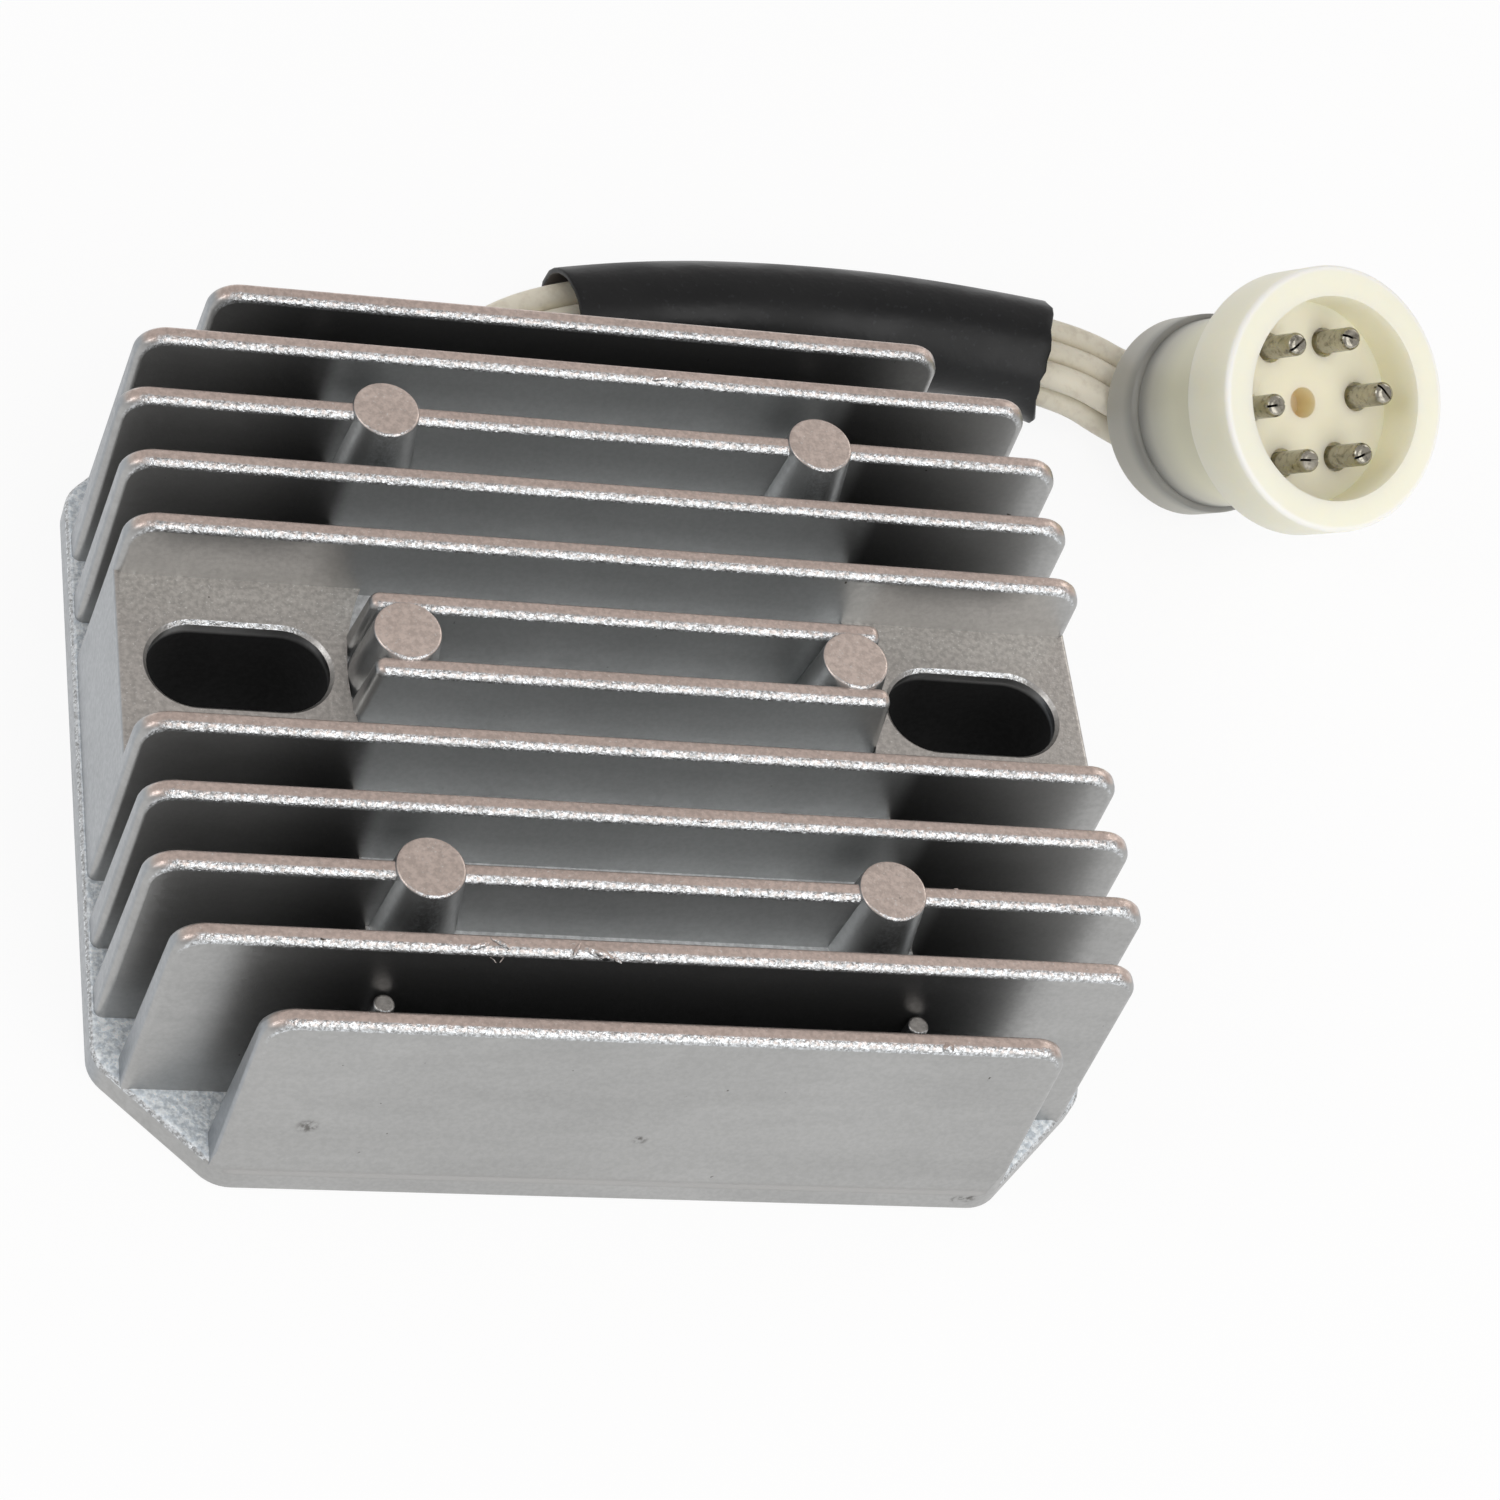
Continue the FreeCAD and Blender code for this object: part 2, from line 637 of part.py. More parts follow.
def connector_boot():
    """Soft tube on the housing's core, thicker at its rear."""
    length = PLUG_LENGTH - FLANGE_THICK
    collar = Part.makeCylinder(BOOT_COLLAR_R, BOOT_COLLAR_LENGTH)
    collar = collar.makeFillet(BOOT_ROUND, [e for e in collar.Edges if len(e.Vertexes) == 1])
    barrel = Part.makeCylinder(BOOT_R, length - BOOT_LAP, V(0, 0, BOOT_LAP))
    shape = barrel.fuse(collar).cut(Part.makeCylinder(CORE_R, length + CUT_PAST))
    shape = shape.cut(Part.makeCylinder(BOOT_INNER_R, core_rear()))
    mouth_r = BOOT_INNER_R + BOOT_MOUTH_CHAMFER
    shape = shape.cut(Part.makeCone(mouth_r, BOOT_INNER_R, BOOT_MOUTH_CHAMFER))
    return plug_place(shape.removeSplitter())


def connector_pin(pin):
    """Round pin from the end of its wire to a blunt tip."""
    tip_end = PLUG_LENGTH - PIN_TIP_BELOW_FACE
    s, u = pin_spot(pin)
    shape = Part.makeCylinder(PIN_DIA / 2.0, tip_end - core_rear(), V(s, u, core_rear()))
    tip = [e for e in shape.Edges if e.BoundBox.ZMin > tip_end - PIN_TIP_ROUND]
    return plug_place(shape.makeFillet(PIN_TIP_ROUND, tip))


def bundle_offset(index, column):
    """Sideways step of a column of wires at one point of the bundle."""
    here = V(*BUNDLE[index])
    back = here - V(*BUNDLE[max(index - 1, 0)])
    ahead = V(*BUNDLE[min(index + 1, len(BUNDLE) - 1)]) - here
    back.z = 0.0
    ahead.z = 0.0
    if index == 0:
        back = ahead
    if index == len(BUNDLE) - 1:
        ahead = back
    middle = (V(back).normalize() + V(ahead).normalize()).normalize()
    across = V(middle.y, -middle.x, 0)
    return across * (column * WIRE_PITCH / middle.dot(V(back).normalize()))


def wire_points(column, row, pin):
    """Route of one wire from its terminal to its pin."""
    points = []
    for i in range(len(BUNDLE)):
        spread = ROW_SPREAD_AT_PLUG if i == len(BUNDLE) - 1 else 1.0
        step = bundle_offset(i, column) + V(0, 0, row * WIRE_PITCH * spread)
        points.append(V(*BUNDLE[i]) + step)
    side, up, ahead = plug_axes()
    s, u = pin_spot(pin)
    keep = 1.0 - WIRE_ENTRY_SHARE
    entry_s = WIRE_ENTRY[0] + WIRE_ENTRY_SHARE * s + keep * step.dot(side)
    entry_u = WIRE_ENTRY[1] + WIRE_ENTRY_SHARE * u + keep * step.dot(up)
    points.append(plug_point(entry_s, entry_u, WIRE_ENTRY[2]))
    points.append(plug_point(s, u, core_rear() - WIRE_LAST_RUN))
    points.append(plug_point(s, u, core_rear()))
    return points


def bent_path(points):
    """Straight runs joined by tangent arcs; also gives the arcs' radii."""
    edges = []
    radii = []
    last = points[0]
    for i in range(1, len(points) - 1):
        corner = points[i]
        back = points[i - 1] - corner
        ahead = points[i + 1] - corner
        reach = BEND_SHARE * min(back.Length, ahead.Length)
        back.normalize()
        ahead.normalize()
        half_turn = (math.pi - back.getAngle(ahead)) / 2.0
        radius = reach / math.tan(half_turn)
        start = corner + back * reach
        end = corner + ahead * reach
        middle = (back + ahead).normalize() * (radius / math.cos(half_turn) - radius)
        edges.append(Part.LineSegment(last, start).toShape())
        edges.append(Part.Arc(start, corner + middle, end).toShape())
        radii.append(radius)
        last = end
    edges.append(Part.LineSegment(last, points[-1]).toShape())
    return Part.Wire(edges), radii


def tube(points, radius, name):
    """Round solid along a bent path; prints its bends, length and volume."""
    path, radii = bent_path(points)
    circle = Part.makeCircle(radius, points[0], points[1] - points[0])
    shape = path.makePipeShell([Part.Wire([circle])], True, True)
    expected = math.pi * radius * radius * path.Length
    ratio = shape.Volume / expected
    text = ", ".join("%.1f" % r for r in radii)
    print("%s: length %.1f, volume ratio %.4f, radii %s" % (name, path.Length, ratio, text))
    return shape


def wires():
    """The six wires, by name."""
    pieces = {}
    for i, (column, row, pin) in enumerate(WIRES):
        name = "wire_%d" % (i + 1)
        pieces[name] = tube(wire_points(column, row, pin), WIRE_DIA / 2.0, name)
    return pieces


def sleeve():
    """Loose hollow sleeve around the wires."""
    points = [V(*p) for p in SLEEVE]
    outer = tube(points, SLEEVE_OUTER_DIA / 2.0, "protective_sleeve")
    inner = tube(points, SLEEVE_INNER_DIA / 2.0, "sleeve bore")
    return outer.cut(inner)


def potting(sealed, wire_shapes):
    """Fill of the cavity and the wires' way out, around everything in it."""
    fill = cavity_block(POTTING_RECESS)
    fill = fill.fuse(channel_block(POTTING_RECESS, BASE_HALF_Y - CHANNEL_FILL_STEP))
    for shape in list(sealed.values()) + list(wire_shapes.values()):
        fill = fill.cut(shape)
    return fill.removeSplitter()


def build():
    """Makes every piece and writes one file for each."""
    pieces = {"heat_sink": heat_sink()}
    sealed = electronics()
    wire_shapes = wires()
    pieces["potting_compound"] = potting(sealed, wire_shapes)
    pieces.update(sealed)
    pieces.update(wire_shapes)
    pieces["protective_sleeve"] = sleeve()
    pieces["connector_housing"] = connector_housing()
    pieces["connector_boot"] = connector_boot()
    for i, (column, row, pin) in enumerate(WIRES):
        pieces["connector_pin_%d" % (i + 1)] = connector_pin(pin)
    os.makedirs("parts", exist_ok=True)
    for name, shape in pieces.items():
        box = shape.BoundBox
        print("%-20s solids %d valid %s volume %.1f z %.2f to %.2f" % (
            name, len(shape.Solids), shape.isValid(), shape.Volume, box.ZMin, box.ZMax))
        shape.exportStep("parts/%s.step" % name)


build()
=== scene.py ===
"""Voltage regulator rectifier: finishes, wires, sleeve and casting marks over the fixed
frame. Metres; +Z up from the mounting face; the wires leave at the rear, +Y."""
from __future__ import annotations

import logging
import math
from collections.abc import Callable
from dataclasses import dataclass, field
from enum import Enum

import bpy
from mathutils import Matrix, Vector, noise


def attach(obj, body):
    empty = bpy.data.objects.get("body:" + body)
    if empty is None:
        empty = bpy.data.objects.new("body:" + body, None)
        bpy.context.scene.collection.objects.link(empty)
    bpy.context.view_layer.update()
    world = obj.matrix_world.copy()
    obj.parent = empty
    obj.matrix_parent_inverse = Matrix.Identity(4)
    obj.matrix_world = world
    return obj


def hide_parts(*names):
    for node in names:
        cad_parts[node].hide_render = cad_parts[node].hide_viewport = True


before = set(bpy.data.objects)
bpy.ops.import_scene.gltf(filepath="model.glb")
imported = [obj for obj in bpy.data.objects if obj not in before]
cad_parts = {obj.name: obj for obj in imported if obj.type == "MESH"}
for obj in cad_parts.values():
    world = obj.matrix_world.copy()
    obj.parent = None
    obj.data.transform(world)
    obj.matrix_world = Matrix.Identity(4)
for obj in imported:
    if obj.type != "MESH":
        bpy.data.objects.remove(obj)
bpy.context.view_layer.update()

LOG = logging.getLogger("rectifier")
MM = 0.001
BODY = "root"

Colour = tuple[float, float, float, float]
Triple = tuple[float, float, float]
Pair = tuple[float, float]
Socket = bpy.types.NodeSocket
WHITE: Colour = (1.0, 1.0, 1.0, 1.0)


def srgb(red: int, green: int, blue: int) -> Colour:
    """Linear colour for three screen values from 0 to 255.

    Args:
        red: the red value.
        green: the green value.
        blue: the blue value.

    Returns:
        The colour, fully opaque.
    """

    def linear(value: int) -> float:
        """One channel."""
        share = value / 255.0
        return share / 12.92 if share <= 0.04045 else ((share + 0.055) / 1.055) ** 2.4

    return (linear(red), linear(green), linear(blue), 1.0)


class Graph:
    """A node tree with short ways to add and join nodes."""

    def __init__(self, tree: bpy.types.NodeTree) -> None:
        """Keeps the tree.

        Args:
            tree: the node tree of a material or of a shader group.
        """
        self.tree = tree

    def node(self, kind: str, inputs: dict | None = None, **settings: object) -> bpy.types.Node:
        """Adds one node.

        Args:
            kind: the node's type name.
            inputs: values or sockets for its inputs, by name or number.
            settings: attributes set on the node first.

        Returns:
            The new node.
        """
        made = self.tree.nodes.new(kind)
        for name, value in settings.items():
            setattr(made, name, value)
        for key, value in (inputs or {}).items():
            self.feed(made.inputs[key], value)
        return made

    def feed(self, target: Socket, value: object) -> None:
        """Links a socket to an input, or sets a plain value on it.

        Args:
            target: the input.
            value: the socket or the value.
        """
        if isinstance(value, Socket):
            self.tree.links.new(value, target)
        else:
            target.default_value = value

    def maths(self, operation: str, first: object, second: object = 0.0,
              clamp: bool = False) -> Socket:
        """Adds a Math node and returns its value."""
        return self.node("ShaderNodeMath", {0: first, 1: second}, operation=operation,
                         use_clamp=clamp).outputs[0]

    def chain(self, operation: str, values: tuple[object, ...]) -> Socket:
        """Joins several values by one operation.

        Args:
            operation: what joins each value to the result so far.
            values: the values, in order.

        Returns:
            The result.
        """
        result = values[0]
        for value in values[1:]:
            result = self.maths(operation, result, value)
        return result

    def product(self, *values: object) -> Socket:
        """Multiplies several values."""
        return self.chain("MULTIPLY", values)

    def total(self, *values: object) -> Socket:
        """Adds several values."""
        return self.chain("ADD", values)

    def most(self, *values: object) -> Socket:
        """The largest of several values."""
        return self.chain("MAXIMUM", values)

    def apart(self, value: object, middle: float) -> Socket:
        """How far a value is from a middle one, on either side."""
        return self.maths("ABSOLUTE", self.maths("SUBTRACT", value, middle))

    def blend(self, share: object, first: object, second: object,
              mode: str = "MIX") -> Socket:
        """Mixes two colours and returns the result."""
        return self.node("ShaderNodeMix", {0: share, 6: first, 7: second}, data_type="RGBA",
                         blend_type=mode).outputs[2]

    def span(self, value: object, low: float, high: float, start: float = 0.0,
             end: float = 1.0) -> Socket:
        """Maps a value from one range to another and holds it inside."""
        return self.node("ShaderNodeMapRange", {0: value, 1: low, 2: high, 3: start, 4: end},
                         interpolation_type="SMOOTHSTEP").outputs[0]

    def fall(self, value: object, low: float, high: float) -> Socket:
        """One below a range and nothing above it."""
        return self.span(value, low, high, 1.0, 0.0)

    def band(self, value: object, rise: Pair, fall: Pair) -> Socket:
        """One between two ranges, over which it rises and falls."""
        return self.product(self.span(value, *rise), self.fall(value, *fall))

    def grey(self, level: Socket) -> Socket:
        """A colour with one value in all three channels."""
        return self.node("ShaderNodeCombineColor", {0: level, 1: level, 2: level}).outputs[0]

    def place(self) -> Socket:
        """The point on the surface, in metres of the piece's own frame."""
        return self.node("ShaderNodeTexCoord").outputs["Object"]

    def stretched(self, scale: Triple) -> Socket:
        """The point on the surface, scaled along each axis."""
        made = self.node("ShaderNodeMapping", {"Vector": self.place(), "Scale": scale})
        return made.outputs[0]

    def noise(self, scale: object, detail: float = 3.0, rough: float = 0.55,
              vector: Socket | None = None) -> Socket:
        """Adds a noise pattern.

        Args:
            scale: how many grains there are in a metre.
            detail: how many finer layers it has.
            rough: how strong the finer layers are.
            vector: where to read it, if not at the point on the surface.

        Returns:
            The pattern's strength.
        """
        place = vector if vector is not None else self.place()
        inputs = {"Scale": scale, "Detail": detail, "Roughness": rough, "Vector": place}
        return self.node("ShaderNodeTexNoise", inputs).outputs["Fac"]

    def parts(self, vector: Socket) -> tuple[Socket, Socket, Socket]:
        """The three components of a vector."""
        made = self.node("ShaderNodeSeparateXYZ", {0: vector})
        return made.outputs[0], made.outputs[1], made.outputs[2]

    def facing(self) -> tuple[Socket, Socket, Socket]:
        """The components of the surface's own direction."""
        return self.parts(self.node("ShaderNodeTexCoord").outputs["Normal"])

    def vectors(self, operation: str, first: Socket, second: Vector) -> bpy.types.Node:
        """Adds a Vector Math node whose second vector is fixed."""
        return self.node("ShaderNodeVectorMath", {0: first, 1: tuple(second)},
                         operation=operation)

    def along(self, origin: Vector, axis: Vector) -> Socket:
        """Distance of the surface from a plane, along the plane's axis."""
        shifted = self.vectors("SUBTRACT", self.place(), origin).outputs[0]
        return self.vectors("DOT_PRODUCT", shifted, axis).outputs["Value"]

    def from_axis(self, origin: Vector, axis: Vector) -> Socket:
        """Distance of the surface from an axis.

        Args:
            origin: a point on the axis.
            axis: the axis's direction.

        Returns:
            The distance in metres.
        """
        shifted = self.vectors("SUBTRACT", self.place(), origin).outputs[0]
        crossed = self.vectors("CROSS_PRODUCT", shifted, axis).outputs[0]
        return self.vectors("LENGTH", crossed, Vector()).outputs["Value"]

    def near(self, spot: Vector, radius: float) -> Socket:
        """One at a spot, falling to nothing at a radius from it."""
        gap = self.vectors("DISTANCE", self.place(), spot).outputs["Value"]
        return self.fall(gap, 0.3 * radius, radius)

    def bump(self, height: Socket, depth: float, strength: object = 1.0) -> Socket:
        """Turns a height pattern into a surface direction."""
        inputs = {"Height": height, "Distance": depth, "Strength": strength}
        return self.node("ShaderNodeBump", inputs).outputs["Normal"]


class Group:
    """A shader group with named inputs and outputs."""

    def __init__(self, name: str, inputs: dict[str, float], outputs: list[str]) -> None:
        """Makes the empty group.

        Args:
            name: the group's name.
            inputs: each input's name and starting value.
            outputs: the names of its values.
        """
        self.tree = bpy.data.node_groups.new(name, "ShaderNodeTree")
        for label, value in inputs.items():
            made = self.tree.interface.new_socket(label, in_out="INPUT",
                                                  socket_type="NodeSocketFloat")
            made.default_value = value
        for label in outputs:
            self.tree.interface.new_socket(label, in_out="OUTPUT", socket_type="NodeSocketFloat")
        self.graph = Graph(self.tree)
        self.given = self.graph.node("NodeGroupInput").outputs
        self.result = self.graph.node("NodeGroupOutput").inputs

    def give(self, label: str, value: Socket) -> None:
        """Sends a value to one of the group's outputs."""
        self.graph.feed(self.result[label], value)

    def used_in(self, graph: Graph, **values: float) -> bpy.types.bpy_prop_collection:
        """Places the group in a material.

        Args:
            graph: the material's nodes.
            values: the group's inputs there, by name.

        Returns:
            The group's outputs.
        """
        made = graph.node("ShaderNodeGroup", node_tree=self.tree)
        for label, value in values.items():
            graph.feed(made.inputs[label], value)
        return made.outputs


def blasted_grain() -> Group:
    """Fine sandblasted skin: two sizes of grain and scattered bright specks.

    Returns:
        The group.
    """
    group = Group("blasted_grain", {"Scale": 4200.0}, ["Height", "Speck", "Tone"])
    graph, given = group.graph, group.given
    fine = graph.noise(given["Scale"], 2.0, 0.6)
    coarse = graph.noise(graph.maths("MULTIPLY", given["Scale"], 0.45), 2.0, 0.6)
    group.give("Height", graph.maths("ADD", graph.maths("MULTIPLY", fine, 0.6), coarse))
    group.give("Speck", graph.span(fine, 0.62, 0.74))
    group.give("Tone", graph.span(coarse, 0.3, 0.7))
    return group


def drifting_tone() -> Group:
    """Slow changes of tone over a surface, with faint smaller patches.

    Returns:
        The group.
    """
    group = Group("drifting_tone", {"Scale": 60.0}, ["Cloud", "Patch"])
    graph, given = group.graph, group.given
    group.give("Cloud", graph.span(graph.noise(given["Scale"], 3.0, 0.5), 0.3, 0.7))
    small = graph.noise(graph.maths("MULTIPLY", given["Scale"], 5.0), 4.0, 0.6)
    group.give("Patch", graph.span(small, 0.45, 0.75))
    return group


def moulded_skin() -> Group:
    """Faint unevenness and dust of moulded plastic or rubber.

    Returns:
        The group.
    """
    group = Group("moulded_skin", {"Scale": 500.0}, ["Height", "Dust"])
    graph, given = group.graph, group.given
    wave = graph.noise(given["Scale"], 3.0, 0.5)
    grain = graph.noise(graph.maths("MULTIPLY", given["Scale"], 6.0), 2.0, 0.5)
    group.give("Height", graph.maths("ADD", wave, graph.maths("MULTIPLY", grain, 0.15)))
    group.give("Dust", graph.span(grain, 0.6, 0.75))
    return group


@dataclass
class Shared:
    """The shader groups that several finishes use."""

    grain: Group = field(default_factory=blasted_grain)
    drift: Group = field(default_factory=drifting_tone)
    skin: Group = field(default_factory=moulded_skin)


@dataclass(frozen=True)
class Finish:
    """A surface with a colour, a gloss and a way to draw its detail."""

    name: str
    colour: Colour
    rough: float = 0.5
    metal: float = 0.0

    def start(self) -> tuple[bpy.types.Material, Graph, bpy.types.Node]:
        """Makes the material and its shader.

        Returns:
            The material, its nodes and its shader.
        """
        made = bpy.data.materials.new(self.name)
        made.use_nodes = True
        made.diffuse_color = self.colour
        graph = Graph(made.node_tree)
        shader = made.node_tree.nodes["Principled BSDF"]
        shader.inputs["Base Color"].default_value = self.colour
        shader.inputs["Roughness"].default_value = self.rough
        shader.inputs["Metallic"].default_value = self.metal
        return made, graph, shader

    def let_light_in(self, shader: bpy.types.Node, share: float, reach: Triple) -> None:
        """Makes the surface translucent.

        Args:
            shader: the material's shader.
            share: how much of the light goes in.
            reach: how far red, green and blue light goes.
        """
        shader.inputs["Subsurface Weight"].default_value = share
        shader.inputs["Subsurface Radius"].default_value = reach
        shader.inputs["Subsurface Scale"].default_value = 1.0

    def make(self, shared: Shared) -> bpy.types.Material:
        """Builds the plain moulded surface.

        Args:
            shared: the groups to draw from.

        Returns:
            The material.
        """
        made, graph, shader = self.start()
        skin = shared.skin.used_in(graph, Scale=500.0)
        pale = tuple(min(1.0, 1.35 * c + 0.01) for c in self.colour[:3]) + (1.0,)
        graph.feed(shader.inputs["Base Color"], graph.blend(skin["Dust"], self.colour, pale))
        graph.feed(shader.inputs["Normal"], graph.bump(skin["Height"], 0.03 * MM))
        return made


@dataclass(frozen=True)
class SatinMetal(Finish):
    """Plain satin metal of the small parts inside."""

    def make(self, shared: Shared) -> bpy.types.Material:
        """Builds the satin surface.

        Args:
            shared: the groups to draw from.

        Returns:
            The material.
        """
        made, graph, shader = self.start()
        grain = shared.grain.used_in(graph, Scale=3000.0)
        dull = tuple(0.7 * c for c in self.colour[:3]) + (1.0,)
        graph.feed(shader.inputs["Base Color"], graph.blend(grain["Tone"], self.colour, dull))
        graph.feed(shader.inputs["Normal"], graph.bump(grain["Height"], 0.01 * MM))
        return made


class Site:
    """Where a point of the casting is and how it faces, for the casting's masks."""

    def __init__(self, graph: Graph) -> None:
        """Adds the nodes that measure the point.

        Args:
            graph: the material's nodes.
        """
        self.graph = graph
        self.across, self.along, self.height = graph.parts(graph.place())
        self.side, self.ahead, self.up = graph.facing()
        self.wide = graph.maths("ABSOLUTE", self.across)
        self.flat = graph.span(self.up, 0.5, 0.85)
        self.steep = graph.fall(self.up, 0.1, 0.3)


@dataclass(frozen=True)
class Casting(Finish):
    """Sandblasted die-cast aluminium with browned tops, a painted highlight on its front
    roundings, painted shade on its end faces, deep gaps and slot walls, and painted light over its
    raised floor and base ledge.

    Each pair is a range over which a mask rises or falls.
    """

    top: Colour = srgb(208, 191, 182)
    post: Colour = srgb(212, 197, 188)
    pad: Colour = srgb(189, 185, 180)
    # Painted shade: the end faces are darker and bluer than the body.
    end: Colour = srgb(156, 160, 164)
    # Painted light for the base's ledge, broken by a scratch-like pattern between the two tones
    # below.
    ledge: Colour = srgb(246, 252, 255)
    ledge_low: Colour = srgb(206, 215, 222)
    # Painted light for the raised floor between the fins.
    valley: Colour = srgb(230, 232, 233)
    # Painted light for the fins' faces over the raised floor.
    inner: Colour = srgb(180, 182, 182)
    # Painted shade for the faces in the deep gaps.
    deep: Colour = srgb(116, 116, 116)
    # The next two colours paint a highlight on the front roundings, broken by sparkle between
    # them.
    edge_highlight: Colour = srgb(226, 230, 233)
    edge_highlight_low: Colour = srgb(150, 151, 151)
    speck: Colour = srgb(240, 240, 238)
    pit: Colour = srgb(70, 66, 60)
    shade: Colour = srgb(5, 5, 6)
    lip: Colour = srgb(166, 166, 165)
    grain_scale: float = 4200.0
    grain_depth: float = 0.09 * MM
    cloud_scale: float = 45.0
    base_top: float = 3.0 * MM
    fin_foot: Pair = (8.0 * MM, 12.0 * MM)
    fin_front: Pair = (-41.0 * MM, -40.6 * MM)
    valley_half: float = 25.3 * MM
    valley_top: float = 19.2 * MM
    valley_front: Pair = (-29.0 * MM, -27.5 * MM)
    valley_rear: Pair = (31.8 * MM, 32.4 * MM)
    gap_half: Pair = (26.0 * MM, 37.0 * MM)
    gap_front: Pair = (-40.4 * MM, -39.8 * MM)
    gap_rear: Pair = (38.6 * MM, 39.2 * MM)
    pad_rear: float = 9.6 * MM
    off_pad: Pair = (0.8 * MM, 1.6 * MM)
    post_top: float = 27.3 * MM
    slot_x: float = 35.0 * MM
    slot_length: float = 16.7 * MM
    slot_width: float = 9.0 * MM
    slot_edge: float = 0.3 * MM
    pad_top: float = 20.1 * MM
    step_half: Pair = (35.0 * MM, 36.5 * MM)
    step_front: Pair = (-41.74 * MM, -41.66 * MM)
    step_foot: Pair = (2.2 * MM, 2.5 * MM)
    step_head: Pair = (3.05 * MM, 3.3 * MM)
    stains: tuple[tuple[Triple, float], ...] = (
        ((-29.6, -41.25, 10.2), 1.3),
        ((34.1, -41.78, 1.9), 1.0),
        ((33.0, -41.8, 1.6), 0.8),
        ((0.5, -41.3, 9.7), 0.9),
    )

    def make(self, shared: Shared) -> bpy.types.Material:
        """Builds the cast surface.

        Args:
            shared: the groups to draw from.

        Returns:
            The material.
        """
        made, graph, shader = self.start()
        site = Site(graph)
        grain = shared.grain.used_in(graph, Scale=self.grain_scale)
        drift = shared.drift.used_in(graph, Scale=self.cloud_scale)
        ledge = graph.product(site.flat, graph.fall(site.height, *self.fin_foot))
        valley, edge = self.raised_floor(site), self.rounding(site)
        slot, lip = self.slot_wall(site), self.foot_step(site)
        tone = self.ground(site, ledge, valley)
        level = graph.grey(self.level(site, grain, drift))
        tone = graph.blend(1.0, tone, level, "MULTIPLY")
        tone = self.highlight_and_wear(site, tone, edge, grain["Speck"])
        tone = graph.blend(slot, tone, self.shade)
        graph.feed(shader.inputs["Base Color"], graph.blend(lip, tone, self.lip))
        dull = graph.most(graph.product(ledge, 0.85), graph.product(slot, 0.8),
                          graph.product(lip, 0.88), graph.product(valley, 0.5))
        graph.feed(shader.inputs["Metallic"], graph.maths("SUBTRACT", self.metal, dull))
        gloss = graph.total(graph.product(grain["Tone"], -0.08), self.rough + 0.04,
                            graph.product(edge, -0.08),
                            graph.product(graph.most(lip, slot), 0.55))
        graph.feed(shader.inputs["Roughness"], gloss)
        strength = graph.total(graph.product(site.flat, 0.35), graph.product(edge, 1.3), 0.06,
                               graph.product(ledge, 0.5))
        skin = graph.bump(grain["Height"], self.grain_depth, strength)
        graph.feed(shader.inputs["Normal"], skin)
        return made

    def ground(self, site: Site, ledge: Socket, valley: Socket) -> Socket:
        """Colour of each kind of face, with its painted light and shade, before its grain, painted
        highlight and wear.

        Args:
            site: the point on the casting.
            ledge: mask of the base's ledge, which takes painted light.
            valley: mask of the raised floor, which takes painted light.

        Returns:
            The colour.
        """
        graph, flat, height = site.graph, site.flat, site.height
        # The end faces take a darker, bluer painted shade.
        ends = graph.span(graph.maths("ABSOLUTE", site.side), 0.7, 0.95)
        browned = graph.span(height, self.pad_top + 1.0 * MM, self.pad_top + 3.9 * MM)
        posts = graph.span(height, self.post_top - 0.15 * MM, self.post_top - 0.05 * MM)
        scratches = graph.span(graph.noise(1700.0, 2.0, 0.6), 0.38, 0.62)
        layers = (
            (ends, self.end),
            (self.deep_gap(site), self.deep),
            (self.inner_face(site), self.inner),
            (flat, self.pad),
            (graph.product(flat, browned), self.top),
            (posts, self.post),
            (valley, self.valley),
            (ledge, graph.blend(scratches, self.ledge_low, self.ledge)),
        )
        tone = self.colour
        for mask, colour in layers:
            tone = graph.blend(mask, tone, colour)
        return tone

    def highlight_and_wear(self, site: Site, tone: Socket, edge: Socket, speck: Socket) -> Socket:
        """Adds a painted highlight on the roundings, bright specks, stains and pits to a colour.

        Args:
            site: the point on the casting.
            tone: the colour so far.
            edge: mask of the roundings that take the painted highlight.
            speck: mask of the grain's bright specks.

        Returns:
            The colour.
        """
        graph = site.graph
        # The roundings take a painted highlight, broken by sparkle between a bright and a duller
        # tone.
        sparkle = graph.span(graph.noise(3000.0, 2.0, 0.7), 0.36, 0.64)
        tone = graph.blend(edge, tone, graph.blend(sparkle, self.edge_highlight_low, self.edge_highlight))
        shown = graph.product(speck, graph.total(graph.product(site.flat, 0.5), 0.06))
        tone = graph.blend(shown, tone, self.speck)
        for spot, radius in self.stains:
            ragged = graph.span(graph.noise(1500.0, 3.0, 0.6), 0.38, 0.62)
            smudge = graph.product(graph.near(Vector(spot) * MM, radius * MM), ragged, 0.75)
            tone = graph.blend(smudge, tone, self.pit)
        pits = graph.span(graph.noise(900.0, 2.0, 0.5), 0.77, 0.82)
        return graph.blend(pits, tone, self.pit)

    def raised_floor(self, site: Site) -> Socket:
        """Mask of the raised floor between the fins' middles, where light is painted.

        Args:
            site: the point on the casting.

        Returns:
            A value from 0 to 1.
        """
        graph, half, top = site.graph, self.valley_half, self.valley_top
        return graph.product(site.flat, graph.fall(site.wide, half - 0.4 * MM, half),
                             graph.fall(site.height, top + 0.2 * MM, top + 0.6 * MM))

    def foot_step(self, site: Site) -> Socket:
        """Mask of the narrow step between the base and the front fin's face.

        Args:
            site: the point on the casting.

        Returns:
            A value from 0 to 1.
        """
        graph = site.graph
        return graph.product(graph.fall(site.along, *self.step_front),
                             graph.band(site.height, self.step_foot, self.step_head),
                             graph.fall(site.wide, *self.step_half))

